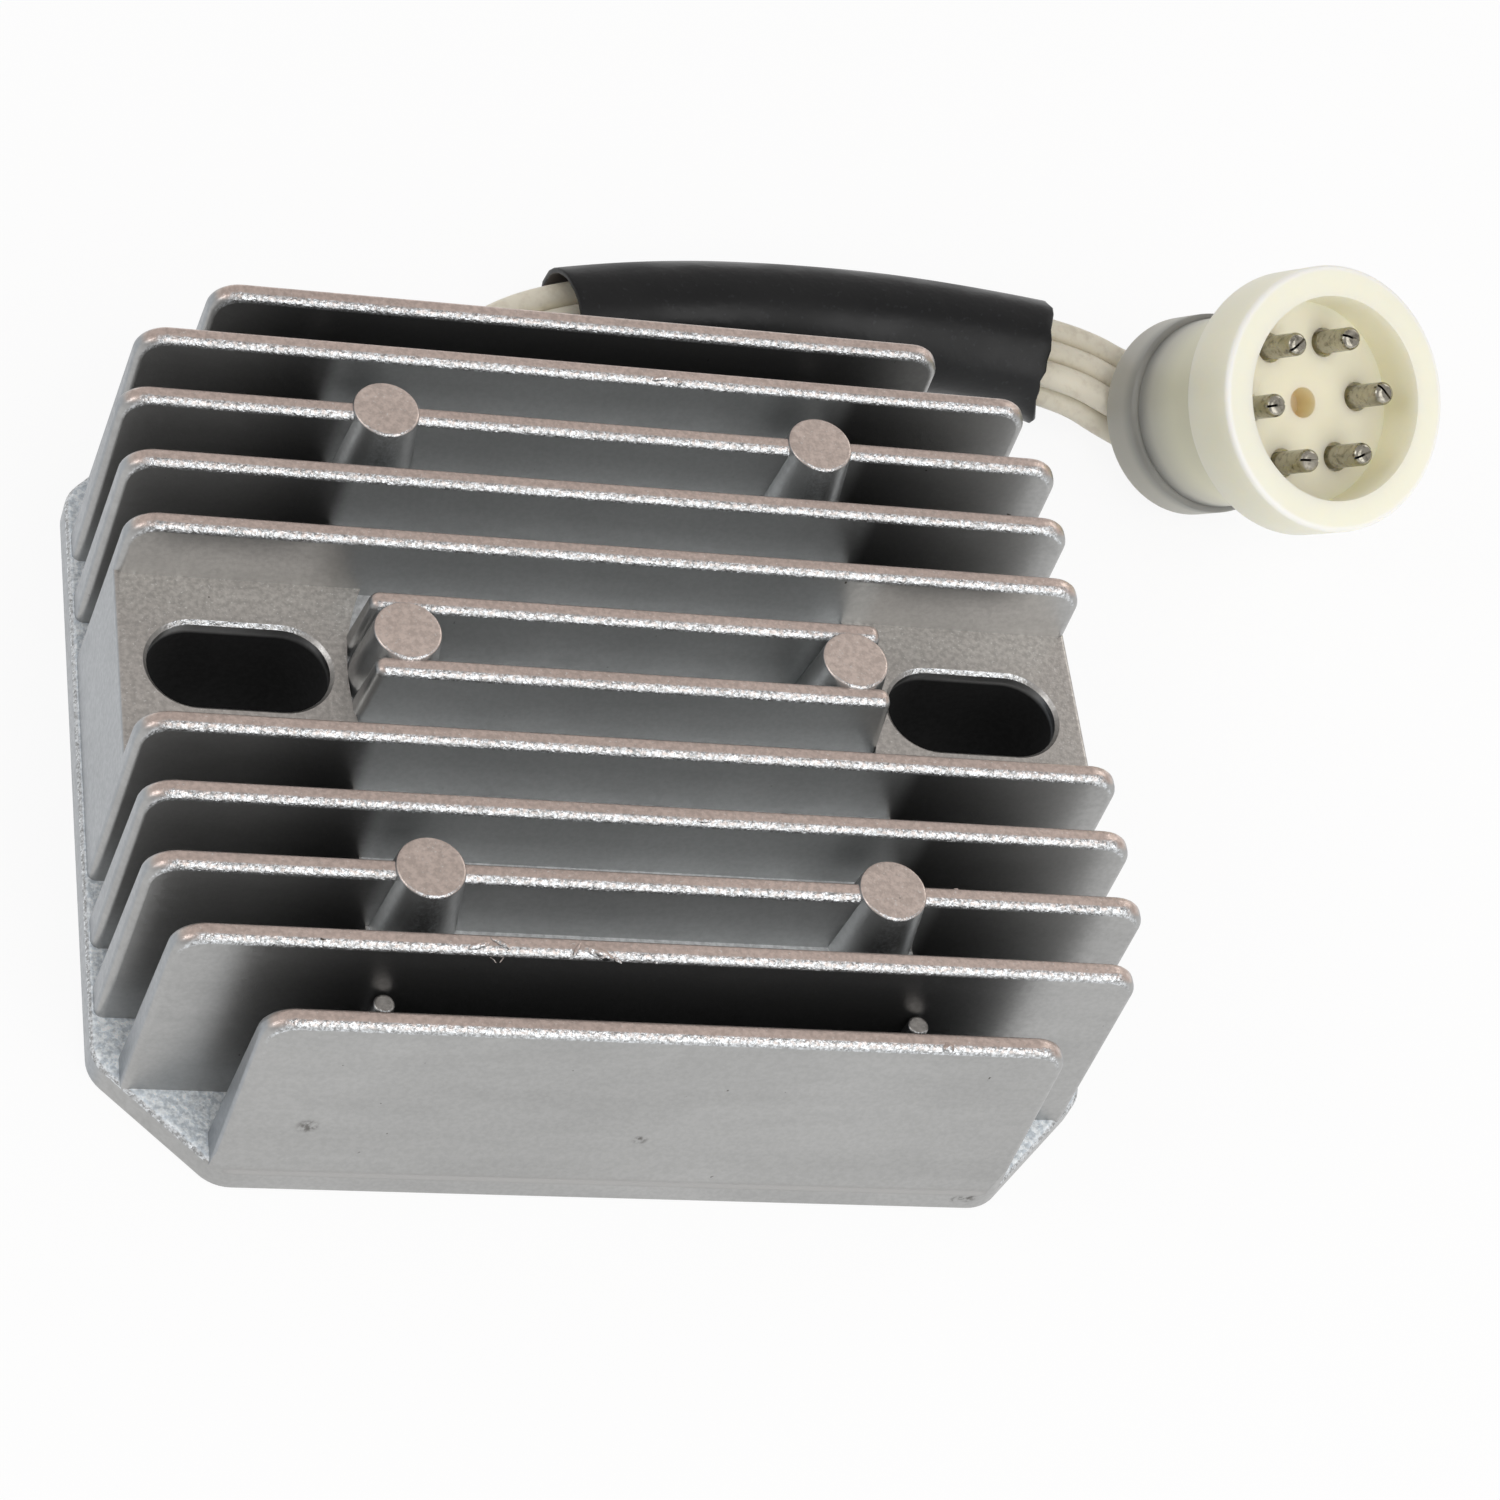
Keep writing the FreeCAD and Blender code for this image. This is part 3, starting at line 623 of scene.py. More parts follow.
    def inner_face(self, site: Site) -> Socket:
        """Mask of the fins' faces over the raised floor, which light reaches; they take painted
        light.

        Args:
            site: the point on the casting.

        Returns:
            A value from 0 to 1.
        """
        graph, half = site.graph, self.valley_half
        middle = graph.fall(site.wide, half - 1.0 * MM, half + 1.0 * MM)
        inside = graph.band(site.along, self.valley_front, self.valley_rear)
        return graph.product(site.steep, middle, inside)

    def deep_gap(self, site: Site) -> Socket:
        """Mask of the faces in the deep gaps, where shade is painted, apart from the one above the
        pads' rear edge.

        Args:
            site: the point on the casting.

        Returns:
            A value from 0 to 1.
        """
        graph = site.graph
        inside = graph.band(site.along, self.gap_front, self.gap_rear)
        off_pad = graph.span(graph.apart(site.along, self.pad_rear), *self.off_pad)
        return graph.product(site.steep, graph.fall(site.wide, *self.gap_half), inside, off_pad)

    def slot_wall(self, site: Site) -> Socket:
        """Mask of the walls inside the two screw slots, which take painted shade.

        Args:
            site: the point on the casting.

        Returns:
            A value from 0 to 1.
        """
        graph, edge = site.graph, self.slot_edge
        half_long, half_wide = self.slot_length / 2.0, self.slot_width / 2.0
        long = graph.fall(graph.apart(site.wide, self.slot_x), half_long + edge / 2.0,
                          half_long + edge)
        wide = graph.fall(graph.maths("ABSOLUTE", site.along), half_wide + edge / 2.0,
                          half_wide + edge)
        low = graph.fall(site.height, self.pad_top - 1.7 * MM, self.pad_top - 0.9 * MM)
        return graph.product(long, wide, low, graph.fall(site.up, 0.3, 0.6))

    def level(self, site: Site, grain: bpy.types.bpy_prop_collection,
              drift: bpy.types.bpy_prop_collection) -> Socket:
        """Brightness of the skin: fine grain, slow clouds and faint drawn streaks.

        Args:
            site: the point on the casting, whose level faces show the grain most.
            grain: the outputs of the grain group.
            drift: the outputs of the tone group.

        Returns:
            A value around one.
        """
        graph = site.graph
        streaks = graph.noise(1.0, 3.0, 0.5, graph.stretched((90.0, 420.0, 420.0)))
        amount = graph.total(graph.product(site.flat, 0.22), 0.07)
        swing = graph.product(graph.maths("SUBTRACT", grain["Tone"], 0.5), amount)
        slow = graph.span(drift["Cloud"], 0.0, 1.0, 0.96, 1.03)
        return graph.product(graph.total(swing, 1.0), slow,
                             graph.span(streaks, 0.3, 0.7, 0.97, 1.03))

    def rounding(self, site: Site) -> Socket:
        """Mask of the roundings that take a painted highlight: the fins' front edges and the
        base's rim.

        Args:
            site: the point on the casting.

        Returns:
            A value from 0 to 1.
        """
        graph, up = site.graph, site.up
        start = graph.span(site.along, *self.fin_front, self.base_top + 1.0 * MM,
                           self.base_top - 0.9 * MM)
        above = graph.span(graph.maths("SUBTRACT", site.height, start), 0.0, 0.4 * MM)
        rim = graph.product(graph.band(up, (0.12, 0.3), (0.8, 0.95)), above,
                            graph.fall(site.height, 5.0 * MM, 8.0 * MM))
        leaning = graph.product(graph.span(up, 0.05, 0.25), graph.fall(site.ahead, -0.3, -0.08),
                                graph.fall(graph.maths("ABSOLUTE", site.side), 0.2, 0.5),
                                graph.span(site.height, *self.fin_foot))
        broken = graph.span(graph.noise(2600.0, 2.0, 0.6), 0.34, 0.6, 0.45, 1.0)
        return graph.product(graph.most(rim, leaning), broken)


@dataclass(frozen=True)
class WireCover(Finish):
    """Cream rubbery wire covering with faint grime."""

    grime: Colour = srgb(150, 128, 100)

    def make(self, shared: Shared) -> bpy.types.Material:
        """Builds the covering.

        Args:
            shared: the groups to draw from.

        Returns:
            The material.
        """
        made, graph, shader = self.start()
        skin = shared.skin.used_in(graph, Scale=380.0)
        drift = shared.drift.used_in(graph, Scale=160.0)
        stain = graph.product(drift["Patch"], 0.22)
        graph.feed(shader.inputs["Base Color"], graph.blend(stain, self.colour, self.grime))
        graph.feed(shader.inputs["Normal"], graph.bump(skin["Height"], 0.04 * MM))
        self.let_light_in(shader, 0.15, (1.2 * MM, 0.9 * MM, 0.6 * MM))
        return made


@dataclass(frozen=True)
class SleeveVinyl(Finish):
    """Black soft vinyl with a satin sheen, fine wrinkles and dust."""

    dust: Colour = srgb(84, 87, 92)

    def make(self, shared: Shared) -> bpy.types.Material:
        """Builds the vinyl.

        Args:
            shared: the groups to draw from.

        Returns:
            The material.
        """
        made, graph, shader = self.start()
        skin = shared.skin.used_in(graph, Scale=260.0)
        drift = shared.drift.used_in(graph, Scale=90.0)
        dust = graph.product(skin["Dust"], 0.1)
        graph.feed(shader.inputs["Base Color"], graph.blend(dust, self.colour, self.dust))
        gloss = graph.span(drift["Cloud"], 0.0, 1.0, self.rough - 0.06, self.rough + 0.1)
        graph.feed(shader.inputs["Roughness"], gloss)
        graph.feed(shader.inputs["Normal"], graph.bump(skin["Height"], 0.12 * MM))
        shader.inputs["Specular IOR Level"].default_value = 0.35
        return made


@dataclass(frozen=True)
class PlugFrame:
    """Place and directions of the plug, and distances along its axis."""

    x: float = 71.93 * MM
    y: float = 50.31 * MM
    turn: float = -68.8
    lift: float = 55.2
    collar_r: float = 10.4 * MM
    rim_round: float = 0.6 * MM
    collar: float = 5.3 * MM
    length: float = 26.0 * MM
    flange: float = 7.0 * MM
    core: float = 9.0 * MM
    recess: float = 5.6 * MM
    recess_r: float = 10.3 * MM
    hole_r: float = 1.55 * MM
    pin_circle: float = 6.75 * MM
    pin_phase: float = -7.0
    pin_dia: float = 2.36 * MM
    tip_below_face: float = 0.6 * MM
    pin_order: tuple[int, ...] = (1, 2, 3, 0, 5, 4)

    @property
    def ahead(self) -> Vector:
        """Forward direction, out of the face."""
        turn, lift = math.radians(self.turn), math.radians(self.lift)
        return Vector((math.cos(lift) * math.cos(turn), math.cos(lift) * math.sin(turn),
                       math.sin(lift)))

    @property
    def side(self) -> Vector:
        """Level direction across the face."""
        return Vector((0.0, 0.0, 1.0)).cross(self.ahead).normalized()

    @property
    def rise(self) -> Vector:
        """Upward direction across the face."""
        return self.ahead.cross(self.side)

    @property
    def rear(self) -> Vector:
        """Middle of the boot's rear, whose rim stands on the floor.

        Returns:
            The point.
        """
        lift = math.radians(self.lift)
        ring = self.collar_r - self.rim_round
        height = ring * math.cos(lift) + self.rim_round * (1.0 - math.sin(lift))
        return Vector((self.x, self.y, height))

    @property
    def floor(self) -> float:
        """Distance of the recess floor along the axis."""
        return self.length - self.recess

    def point(self, side: float, up: float, ahead: float) -> Vector:
        """Point given by its distances along the three directions."""
        return self.rear + self.side * side + self.rise * up + self.ahead * ahead

    def pin_spot(self, pin: int) -> tuple[float, float]:
        """Where a pin stands on the pin circle."""
        angle = math.radians(self.pin_phase + 60.0 * pin)
        return self.pin_circle * math.cos(angle), self.pin_circle * math.sin(angle)

    def turned(self, angle: float) -> Matrix:
        """Turn of a tool whose Z is the plug's axis.

        Args:
            angle: how far it is rolled from the plug's side, in degrees.

        Returns:
            The turn.
        """
        roll = math.radians(angle)
        first = self.side * math.cos(roll) + self.rise * math.sin(roll)
        second = self.ahead.cross(first)
        return Matrix((first, second, self.ahead)).transposed()


@dataclass(frozen=True)
class Nylon(Finish):
    """Ivory translucent nylon, yellower inside the shroud, where it is also brightened as painted
    light against the shroud's shade.
    """

    # The inner colour is the nylon's own yellow, brightened as painted light against the recess's
    # shade.
    inner: Colour = srgb(254, 243, 215)
    hole: Colour = srgb(241, 224, 186)
    # Painted highlight for the outer edge of the front face.
    edge: Colour = srgb(252, 251, 244)
    plug: PlugFrame = PlugFrame()

    def make(self, shared: Shared) -> bpy.types.Material:
        """Builds the nylon.

        Args:
            shared: the groups to draw from.

        Returns:
            The material.
        """
        made, graph, shader = self.start()
        plug = self.plug
        skin = shared.skin.used_in(graph, Scale=300.0)
        drift = shared.drift.used_in(graph, Scale=120.0)
        depth = graph.along(plug.rear, plug.ahead)
        radial = graph.from_axis(plug.rear, plug.ahead)
        # The recess's floor and the foot of its wall take the inner colour: its yellow is the
        # nylon's own, its extra brightness is painted light.
        low = graph.fall(depth, plug.floor + 0.2 * MM, plug.floor + 3.0 * MM)
        core = graph.fall(radial, plug.recess_r - 1.5 * MM, plug.recess_r + 0.3 * MM)
        tone = graph.blend(graph.product(low, core), self.colour, self.inner)
        bore = graph.fall(radial, plug.hole_r - 0.1 * MM, plug.hole_r + 0.15 * MM)
        tone = graph.blend(bore, tone, self.hole)
        stain = graph.product(drift["Patch"], 0.15)
        tone = graph.blend(stain, tone, self.inner)
        # A painted highlight along the outer edge of the front face.
        rim = graph.span(graph.apart(depth, plug.length), 0.1 * MM, 0.7 * MM, 0.7, 0.0)
        outer = graph.span(radial, plug.recess_r + 2.4 * MM, plug.recess_r + 2.8 * MM)
        tone = graph.blend(graph.product(rim, outer), tone, self.edge)
        graph.feed(shader.inputs["Base Color"], tone)
        graph.feed(shader.inputs["Normal"], graph.bump(skin["Height"], 0.05 * MM))
        self.let_light_in(shader, 0.6, (5.0 * MM, 4.4 * MM, 3.2 * MM))
        return made


@dataclass(frozen=True)
class BootRubber(Finish):
    """Greyish translucent soft boot, darker behind its collar edge."""

    collar: Colour = srgb(182, 181, 172)
    # Painted shadow line along the collar's edge.
    collar_shadow: Colour = srgb(112, 113, 111)
    scuff: Colour = srgb(60, 60, 66)
    scuff_spot: Triple = (8.6, -5.4, 5.5)
    scuff_radius: float = 1.6 * MM
    plug: PlugFrame = PlugFrame()

    def make(self, shared: Shared) -> bpy.types.Material:
        """Builds the boot's surface.

        Args:
            shared: the groups to draw from.

        Returns:
            The material.
        """
        made, graph, shader = self.start()
        skin = shared.skin.used_in(graph, Scale=300.0)
        drift = shared.drift.used_in(graph, Scale=110.0)
        depth = graph.along(self.plug.rear, self.plug.ahead)
        edge = self.plug.collar
        tone = graph.blend(graph.span(depth, edge, edge + 6.5 * MM), self.collar, self.colour)
        # A painted shadow line along the collar's edge, broken by slow clouds.
        off = graph.apart(depth, edge)
        line = graph.product(graph.span(off, 0.1 * MM, 2.4 * MM, 0.75, 0.0),
                             graph.span(drift["Cloud"], 0.0, 1.0, 0.7, 1.0))
        tone = graph.blend(line, tone, self.collar_shadow)
        spot = self.plug.point(*(MM * v for v in self.scuff_spot))
        mark = graph.product(graph.near(spot, self.scuff_radius), 0.8)
        graph.feed(shader.inputs["Base Color"], graph.blend(mark, tone, self.scuff))
        graph.feed(shader.inputs["Normal"], graph.bump(skin["Height"], 0.06 * MM))
        self.let_light_in(shader, 0.4, (2.5 * MM, 2.2 * MM, 1.8 * MM))
        return made


@dataclass(frozen=True)
class PinMetal(Finish):
    """Rolled tinned metal with dull streaks."""

    dull: Colour = srgb(104, 100, 90)

    def make(self, shared: Shared) -> bpy.types.Material:
        """Builds the pins' surface.

        Args:
            shared: the groups to draw from.

        Returns:
            The material.
        """
        made, graph, shader = self.start()
        drift = shared.drift.used_in(graph, Scale=320.0)
        tone = graph.blend(graph.product(drift["Patch"], 0.8), self.colour, self.dull)
        graph.feed(shader.inputs["Base Color"], tone)
        gloss = graph.span(drift["Cloud"], 0.0, 1.0, self.rough - 0.08, self.rough + 0.14)
        graph.feed(shader.inputs["Roughness"], gloss)
        return made


@dataclass
class Palette:
    """Every finish of the object."""

    shared: Shared = field(default_factory=Shared)

    def __post_init__(self) -> None:
        """Builds the materials."""
        shared = self.shared
        self.casting = Casting("cast_aluminium", srgb(170, 170, 169), 0.36, 0.88).make(shared)
        self.wire = WireCover("wire_covering", srgb(236, 230, 212), 0.4).make(shared)
        self.sleeve = SleeveVinyl("black_vinyl", srgb(9, 11, 13), 0.36).make(shared)
        self.sleeve_inside = Finish("dull_vinyl", srgb(84, 81, 80), 0.6).make(shared)
        self.nylon = Nylon("ivory_nylon", srgb(243, 241, 221), 0.36).make(shared)
        self.boot = BootRubber("boot_rubber", srgb(229, 227, 202), 0.42).make(shared)
        self.pin = PinMetal("pin_metal", srgb(172, 168, 156), 0.28, 1.0).make(shared)
        self.potting = Finish("black_resin", srgb(26, 26, 27), 0.4).make(shared)
        self.board = Finish("green_laminate", srgb(38, 92, 56), 0.45).make(shared)
        self.insulator = Finish("grey_sheet", srgb(150, 150, 146), 0.6).make(shared)
        self.package = Finish("package_resin", srgb(34, 34, 35), 0.55).make(shared)
        self.can = SatinMetal("can_metal", srgb(190, 190, 190), 0.35, 0.9).make(shared)
        self.brass = SatinMetal("terminal_brass", srgb(196, 168, 100), 0.35, 0.95).make(shared)


def only(piece: bpy.types.Object) -> None:
    """Makes one object the selected and active one.

    Args:
        piece: the object.
    """
    bpy.ops.object.select_all(action="DESELECT")
    piece.select_set(True)
    bpy.context.view_layer.objects.active = piece


def placed(name: str, data: bpy.types.ID) -> bpy.types.Object:
    """Makes an object of some data and puts it in the scene.

    Args:
        name: the object's name.
        data: its mesh, curve, lamp or camera.

    Returns:
        The object.
    """
    piece = bpy.data.objects.new(name, data)
    bpy.context.scene.collection.objects.link(piece)
    return piece


def added(shape: Callable, **settings: object) -> bpy.types.Object:
    """Adds one of Blender's own shapes.

    Args:
        shape: the operator that adds it.
        settings: the operator's settings.

    Returns:
        The new object.
    """
    bpy.ops.object.select_all(action="DESELECT")
    shape(**settings)
    return bpy.context.view_layer.objects.active


def dress(piece: bpy.types.Object, material: bpy.types.Material) -> None:
    """Gives a piece one material, in each slot that it has.

    Args:
        piece: the piece.
        material: its material.
    """
    if not piece.material_slots:
        piece.data.materials.append(material)
    for slot in piece.material_slots:
        slot.material = material


def bake_modifiers(piece: bpy.types.Object) -> None:
    """Applies every modifier of a piece in order.

    Args:
        piece: the piece.
    """
    only(piece)
    for name in [m.name for m in piece.modifiers]:
        bpy.ops.object.modifier_apply(modifier=name)


def smooth(piece: bpy.types.Object, angle: float) -> None:
    """Shades a piece smooth, apart from edges sharper than an angle in degrees."""
    only(piece)
    bpy.ops.object.shade_smooth_by_angle(angle=math.radians(angle))


def merged_copy(node: str, name: str) -> bpy.types.Object:
    """Copies a frame node with its corners joined.

    Args:
        node: the frame's node.
        name: the new piece's name.

    Returns:
        The new piece, which takes the node's place.
    """
    piece = placed(name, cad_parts[node].data.copy())
    only(piece)
    bpy.ops.object.mode_set(mode="EDIT")
    bpy.ops.mesh.select_all(action="SELECT")
    bpy.ops.mesh.remove_doubles(threshold=0.002 * MM)
    bpy.ops.mesh.customdata_custom_splitnormals_clear()
    bpy.ops.object.mode_set(mode="OBJECT")
    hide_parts(node)
    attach(piece, BODY)
    return piece


def cut_out(piece: bpy.types.Object, tool: bpy.types.Object) -> None:
    """Takes a tool's shape out of a piece and removes the tool.

    Args:
        piece: the piece to cut.
        tool: the shape to take out.
    """
    made = piece.modifiers.new("cut_out", "BOOLEAN")
    made.operation = "DIFFERENCE"
    made.solver = "EXACT"
    made.object = tool
    bake_modifiers(piece)
    bpy.data.objects.remove(tool)


class Mark(Enum):
    """Kinds of small raised flaw on the casting."""

    BURR = (1.0, 0.26, 0.3)
    DROP = (0.55, 0.5, 0.42)
    HAIR = (0.6, 0.05, 0.05)


@dataclass(frozen=True)
class Flaw:
    """A raised flaw on a fin's top edge."""

    kind: Mark
    fin: int
    x: float
    across: float
    drop: float
    size: float
    turn: float


@dataclass
class HeatSink:
    """The finned casting and the small flaws on its fins."""

    palette: Palette
    fins: int = 12
    pitch: float = 7.15
    fin_top: float = 27.0
    outer_top: float = 25.5
    rough_seed: int = 7
    rough_scale: float = 3200.0
    rough_depth: float = 0.09 * MM
    flaws: tuple[Flaw, ...] = (
        Flaw(Mark.BURR, 2, -17.4, -0.35, 0.12, 1.1, 18.0),
        Flaw(Mark.BURR, 2, -15.6, -0.05, 0.05, 1.0, -32.0),
        Flaw(Mark.HAIR, 2, -16.3, -0.95, 0.9, 1.2, -55.0),
        Flaw(Mark.HAIR, 2, -15.2, -0.95, 0.9, 1.1, 50.0),
        Flaw(Mark.BURR, 2, -8.8, -0.3, 0.1, 0.8, 60.0),
        Flaw(Mark.BURR, 2, -7.0, -0.5, 0.2, 1.5, -22.0),
        Flaw(Mark.BURR, 2, -5.4, -0.8, 0.5, 0.8, -40.0),
        Flaw(Mark.DROP, 2, -1.6, -0.85, 0.7, 0.45, 10.0),
        Flaw(Mark.BURR, 11, 6.2, -0.45, 0.15, 1.0, 12.0),
        Flaw(Mark.DROP, 11, 8.0, -0.6, 0.3, 0.6, 0.0),
        Flaw(Mark.DROP, 3, 27.3, 0.7, 0.45, 0.6, 0.0),
        Flaw(Mark.DROP, 1, 24.6, -0.55, 0.3, 1.1, 0.0),
        Flaw(Mark.BURR, 4, 4.5, -0.5, 0.2, 0.9, 8.0),
    )

    def flaw(self, number: int, flaw: Flaw) -> bpy.types.Object:
        """Models one small raised flaw, half sunk in the fin's edge.

        Args:
            number: its number in the list.
            flaw: what it is and where it is.

        Returns:
            The new piece.
        """
        top = self.outer_top if flaw.fin in (1, self.fins) else self.fin_top
        across = (flaw.fin - (self.fins + 1) / 2.0) * self.pitch + flaw.across
        spot = Vector((flaw.x, across, top - flaw.drop)) * MM
        piece = added(bpy.ops.mesh.primitive_ico_sphere_add, subdivisions=4, radius=1.0 * MM,
                      location=spot)
        piece.name = "casting_flaw_%d" % number
        bpy.ops.object.mode_set(mode="EDIT")
        bpy.ops.mesh.select_all(action="SELECT")
        bpy.ops.transform.resize(value=tuple(flaw.size * v for v in flaw.kind.value))
        bpy.ops.transform.rotate(value=-math.radians(flaw.turn), orient_axis="Z",
                                 center_override=spot)
        bpy.ops.object.mode_set(mode="OBJECT")
        bpy.ops.object.transform_apply(location=True, rotation=True, scale=True)
        for corner in piece.data.vertices:
            rough = noise.noise_vector(corner.co * self.rough_scale
                                       + Vector((number, 0.0, 0.0)))
            corner.co += rough * self.rough_depth * flaw.size
        smooth(piece, 60.0)
        dress(piece, self.palette.casting)
        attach(piece, BODY)
        LOG.info(piece.name)
        return piece

    def build(self) -> None:
        """Dresses the casting and adds its flaws."""
        dress(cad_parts["heat_sink"], self.palette.casting)
        LOG.info("heat_sink")
        noise.seed_set(self.rough_seed)
        for number, flaw in enumerate(self.flaws, 1):
            self.flaw(number, flaw)


@dataclass
class Electronics:
    """The pieces sealed in the casting's cavity."""

    palette: Palette

    def build(self) -> None:
        """Dresses each sealed node by what it is."""
        chosen = {
            "potting_compound": self.palette.potting,
            "circuit_board": self.palette.board,
            "insulating_sheet": self.palette.insulator,
            "capacitor": self.palette.can,
            "control_chip": self.palette.package,
        }
        for name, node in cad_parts.items():
            if name.startswith("wire_terminal"):
                chosen[name] = self.palette.brass
            elif name.startswith(("diode", "thyristor", "resistor")):
                chosen[name] = self.palette.package
            if name in chosen:
                dress(node, chosen[name])
                LOG.info(name)


@dataclass(frozen=True)
class WireRoute:
    """One wire: its column across the bundle and its row in it."""

    number: int
    column: int
    row: float


@dataclass
class Harness:
    """The six wires and the loose sleeve around them."""

    palette: Palette
    plug: PlugFrame = PlugFrame()
    diameter: float = 2.8 * MM
    pitch: float = 2.95 * MM
    row_spread: float = 1.15
    entry: Triple = (-0.4 * MM, 0.0, 3.5 * MM)
    entry_share: float = 0.7
    last_run: float = 3.0 * MM
    sleeve_outer: float = 5.85 * MM
    sleeve_wall: float = 0.6 * MM
    rim_round: float = 0.2 * MM
    lip: Triple = (0.1, -0.83, -0.55)
    lip_drop: float = 1.5 * MM
    lip_reach: float = 3.5 * MM
    lip_out: float = 0.5 * MM
    lip_spread: float = 0.75
    far_rag: float = 0.5 * MM
    near_rag: float = 0.12 * MM
    rag_scale: float = 900.0
    exit_y: float = 41.9 * MM
    bundle: tuple[Triple, ...] = (
        (-12.0, 27.0, 3.65),
        (-12.0, 35.0, 3.65),
        (-12.0, 43.6, 3.95),
        (-5.4, 49.8, 4.6),
        (1.8, 54.5, 5.3),
        (13.0, 57.2, 5.5),
        (28.0, 58.4, 5.5),
        (44.0, 58.2, 5.5),
        (59.2, 56.1, 5.5),
        (66.0, 52.4, 4.4),
    )
    sleeve_line: tuple[Triple, ...] = (
        (4.0, 55.05, 5.85),
        (13.0, 57.2, 5.85),
        (28.0, 58.4, 5.85),
        (44.0, 58.2, 5.85),
        (55.7, 56.6, 5.85),
    )
    routes: tuple[WireRoute, ...] = (
        WireRoute(1, -1, 0.5),
        WireRoute(2, 0, 0.5),
        WireRoute(3, 1, 0.5),
        WireRoute(4, -1, -0.5),
        WireRoute(5, 0, -0.5),
        WireRoute(6, 1, -0.5),
    )

    def offset(self, index: int, column: int) -> Vector:
        """Sideways step of a column of wires at one point of the bundle.

        Args:
            index: the point's number.
            column: the column, with the middle one 0.

        Returns:
            The step from the bundle's own line.
        """
        here = Vector(self.bundle[index][:2])
        back = here - Vector(self.bundle[max(index - 1, 0)][:2])
        ahead = Vector(self.bundle[min(index + 1, len(self.bundle) - 1)][:2]) - here
        back = ahead.copy() if index == 0 else back
        ahead = back.copy() if index == len(self.bundle) - 1 else ahead
        back.normalize()
        middle = (back + ahead.normalized()).normalized()
        reach = column * self.pitch / middle.dot(back)
        return Vector((middle.y * reach, -middle.x * reach, 0.0))

    def points(self, route: WireRoute) -> list[Vector]:
        """Route of one wire from its terminal to its pin.

        Args:
            route: the wire.

        Returns:
            The points that its line follows.
        """
        found = []
        last = len(self.bundle) - 1
        step = Vector()
        for i, spot in enumerate(self.bundle):
            spread = self.row_spread if i == last else 1.0
            height = Vector((0.0, 0.0, route.row * self.pitch * spread))
            step = self.offset(i, route.column) + height
            found.append(Vector(spot) * MM + step)
        side, up = self.plug.pin_spot(self.plug.pin_order[route.number - 1])
        keep = 1.0 - self.entry_share
        across = self.entry[0] + self.entry_share * side + keep * step.dot(self.plug.side)
        above = self.entry[1] + self.entry_share * up + keep * step.dot(self.plug.rise)
        end = self.plug.length - self.plug.flange - self.plug.core
        found.append(self.plug.point(across, above, self.entry[2]))
        found.append(self.plug.point(side, up, end - self.last_run))
        found.append(self.plug.point(side, up, end))
        return found

    def line(self, name: str, points: list[Vector]) -> bpy.types.Curve:
        """Smooth open line.

        Args:
            name: the line's name.
            points: its control points.

        Returns:
            The curve's data.
        """
        made = bpy.data.curves.new(name, "CURVE")
        made.dimensions = "3D"
        spline = made.splines.new("NURBS")
        spline.points.add(len(points) - 1)
        for target, point in zip(spline.points, points):
            target.co = (*point, 1.0)
        spline.order_u = 3
        spline.use_endpoint_u = True
        made.resolution_u = 12
        return made

    def length(self, points: list[Vector]) -> float:
        """Length of the smooth line along a route.

        Args:
            points: the route's points.

        Returns:
            The length in metres.
        """
        bare = placed("bare_line", self.line("bare_line", points))
        mesh = bpy.data.meshes.new_from_object(bare)
        spots = [v.co.copy() for v in mesh.vertices]
        bpy.data.objects.remove(bare)
        bpy.data.meshes.remove(mesh)
        return sum((b - a).length for a, b in zip(spots, spots[1:]))

    def wire(self, route: WireRoute, pieces: list[bpy.types.Object]) -> bpy.types.Object:
        """Makes one wire.

        Args:
            route: the wire.
            pieces: what is on it; not used.

        Returns:
            The wire's curve.
        """
        points = self.points(route)
        name = "lead_%d" % route.number
        data = self.line(name, points)
        data.bevel_depth = self.diameter / 2.0
        data.bevel_resolution = 7
        data.use_fill_caps = True
        piece = placed(name, data)
        data.materials.append(self.palette.wire)
        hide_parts("wire_%d" % route.number)
        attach(piece, BODY)
        round(self.length(points), 4)
        LOG.info(name)
        return piece

    def tear(self, piece: bpy.types.Object) -> None:
        """Pulls a torn lip out of the sleeve's far end and roughens both cut ends.

        Args:
            piece: the sleeve, still without a wall.
        """
        ends = [Vector(self.sleeve_line[i]) * MM for i in (0, -1)]
        ways = [(Vector(self.sleeve_line[i]) * MM - end).normalized()
                for i, end in zip((1, -2), ends)]
        lip = Vector(self.lip).normalized()
        for corner in piece.data.vertices:
            for end, way in zip(ends, ways):
                inside = (corner.co - end).dot(way)
                if inside > self.lip_reach or (corner.co - end).length > 3.0 * self.lip_reach:
                    continue
                share = (1.0 - inside / self.lip_reach) ** 2
                rag = self.far_rag if end is ends[1] else self.near_rag
                corner.co -= way * noise.noise(corner.co * self.rag_scale) * rag * share
                toward = (corner.co - end).normalized().dot(lip)
                if end is ends[1] and toward > self.lip_spread:
                    pull = share * (toward - self.lip_spread) / (1.0 - self.lip_spread)
                    corner.co += lip * self.lip_drop * pull - way * self.lip_out * pull

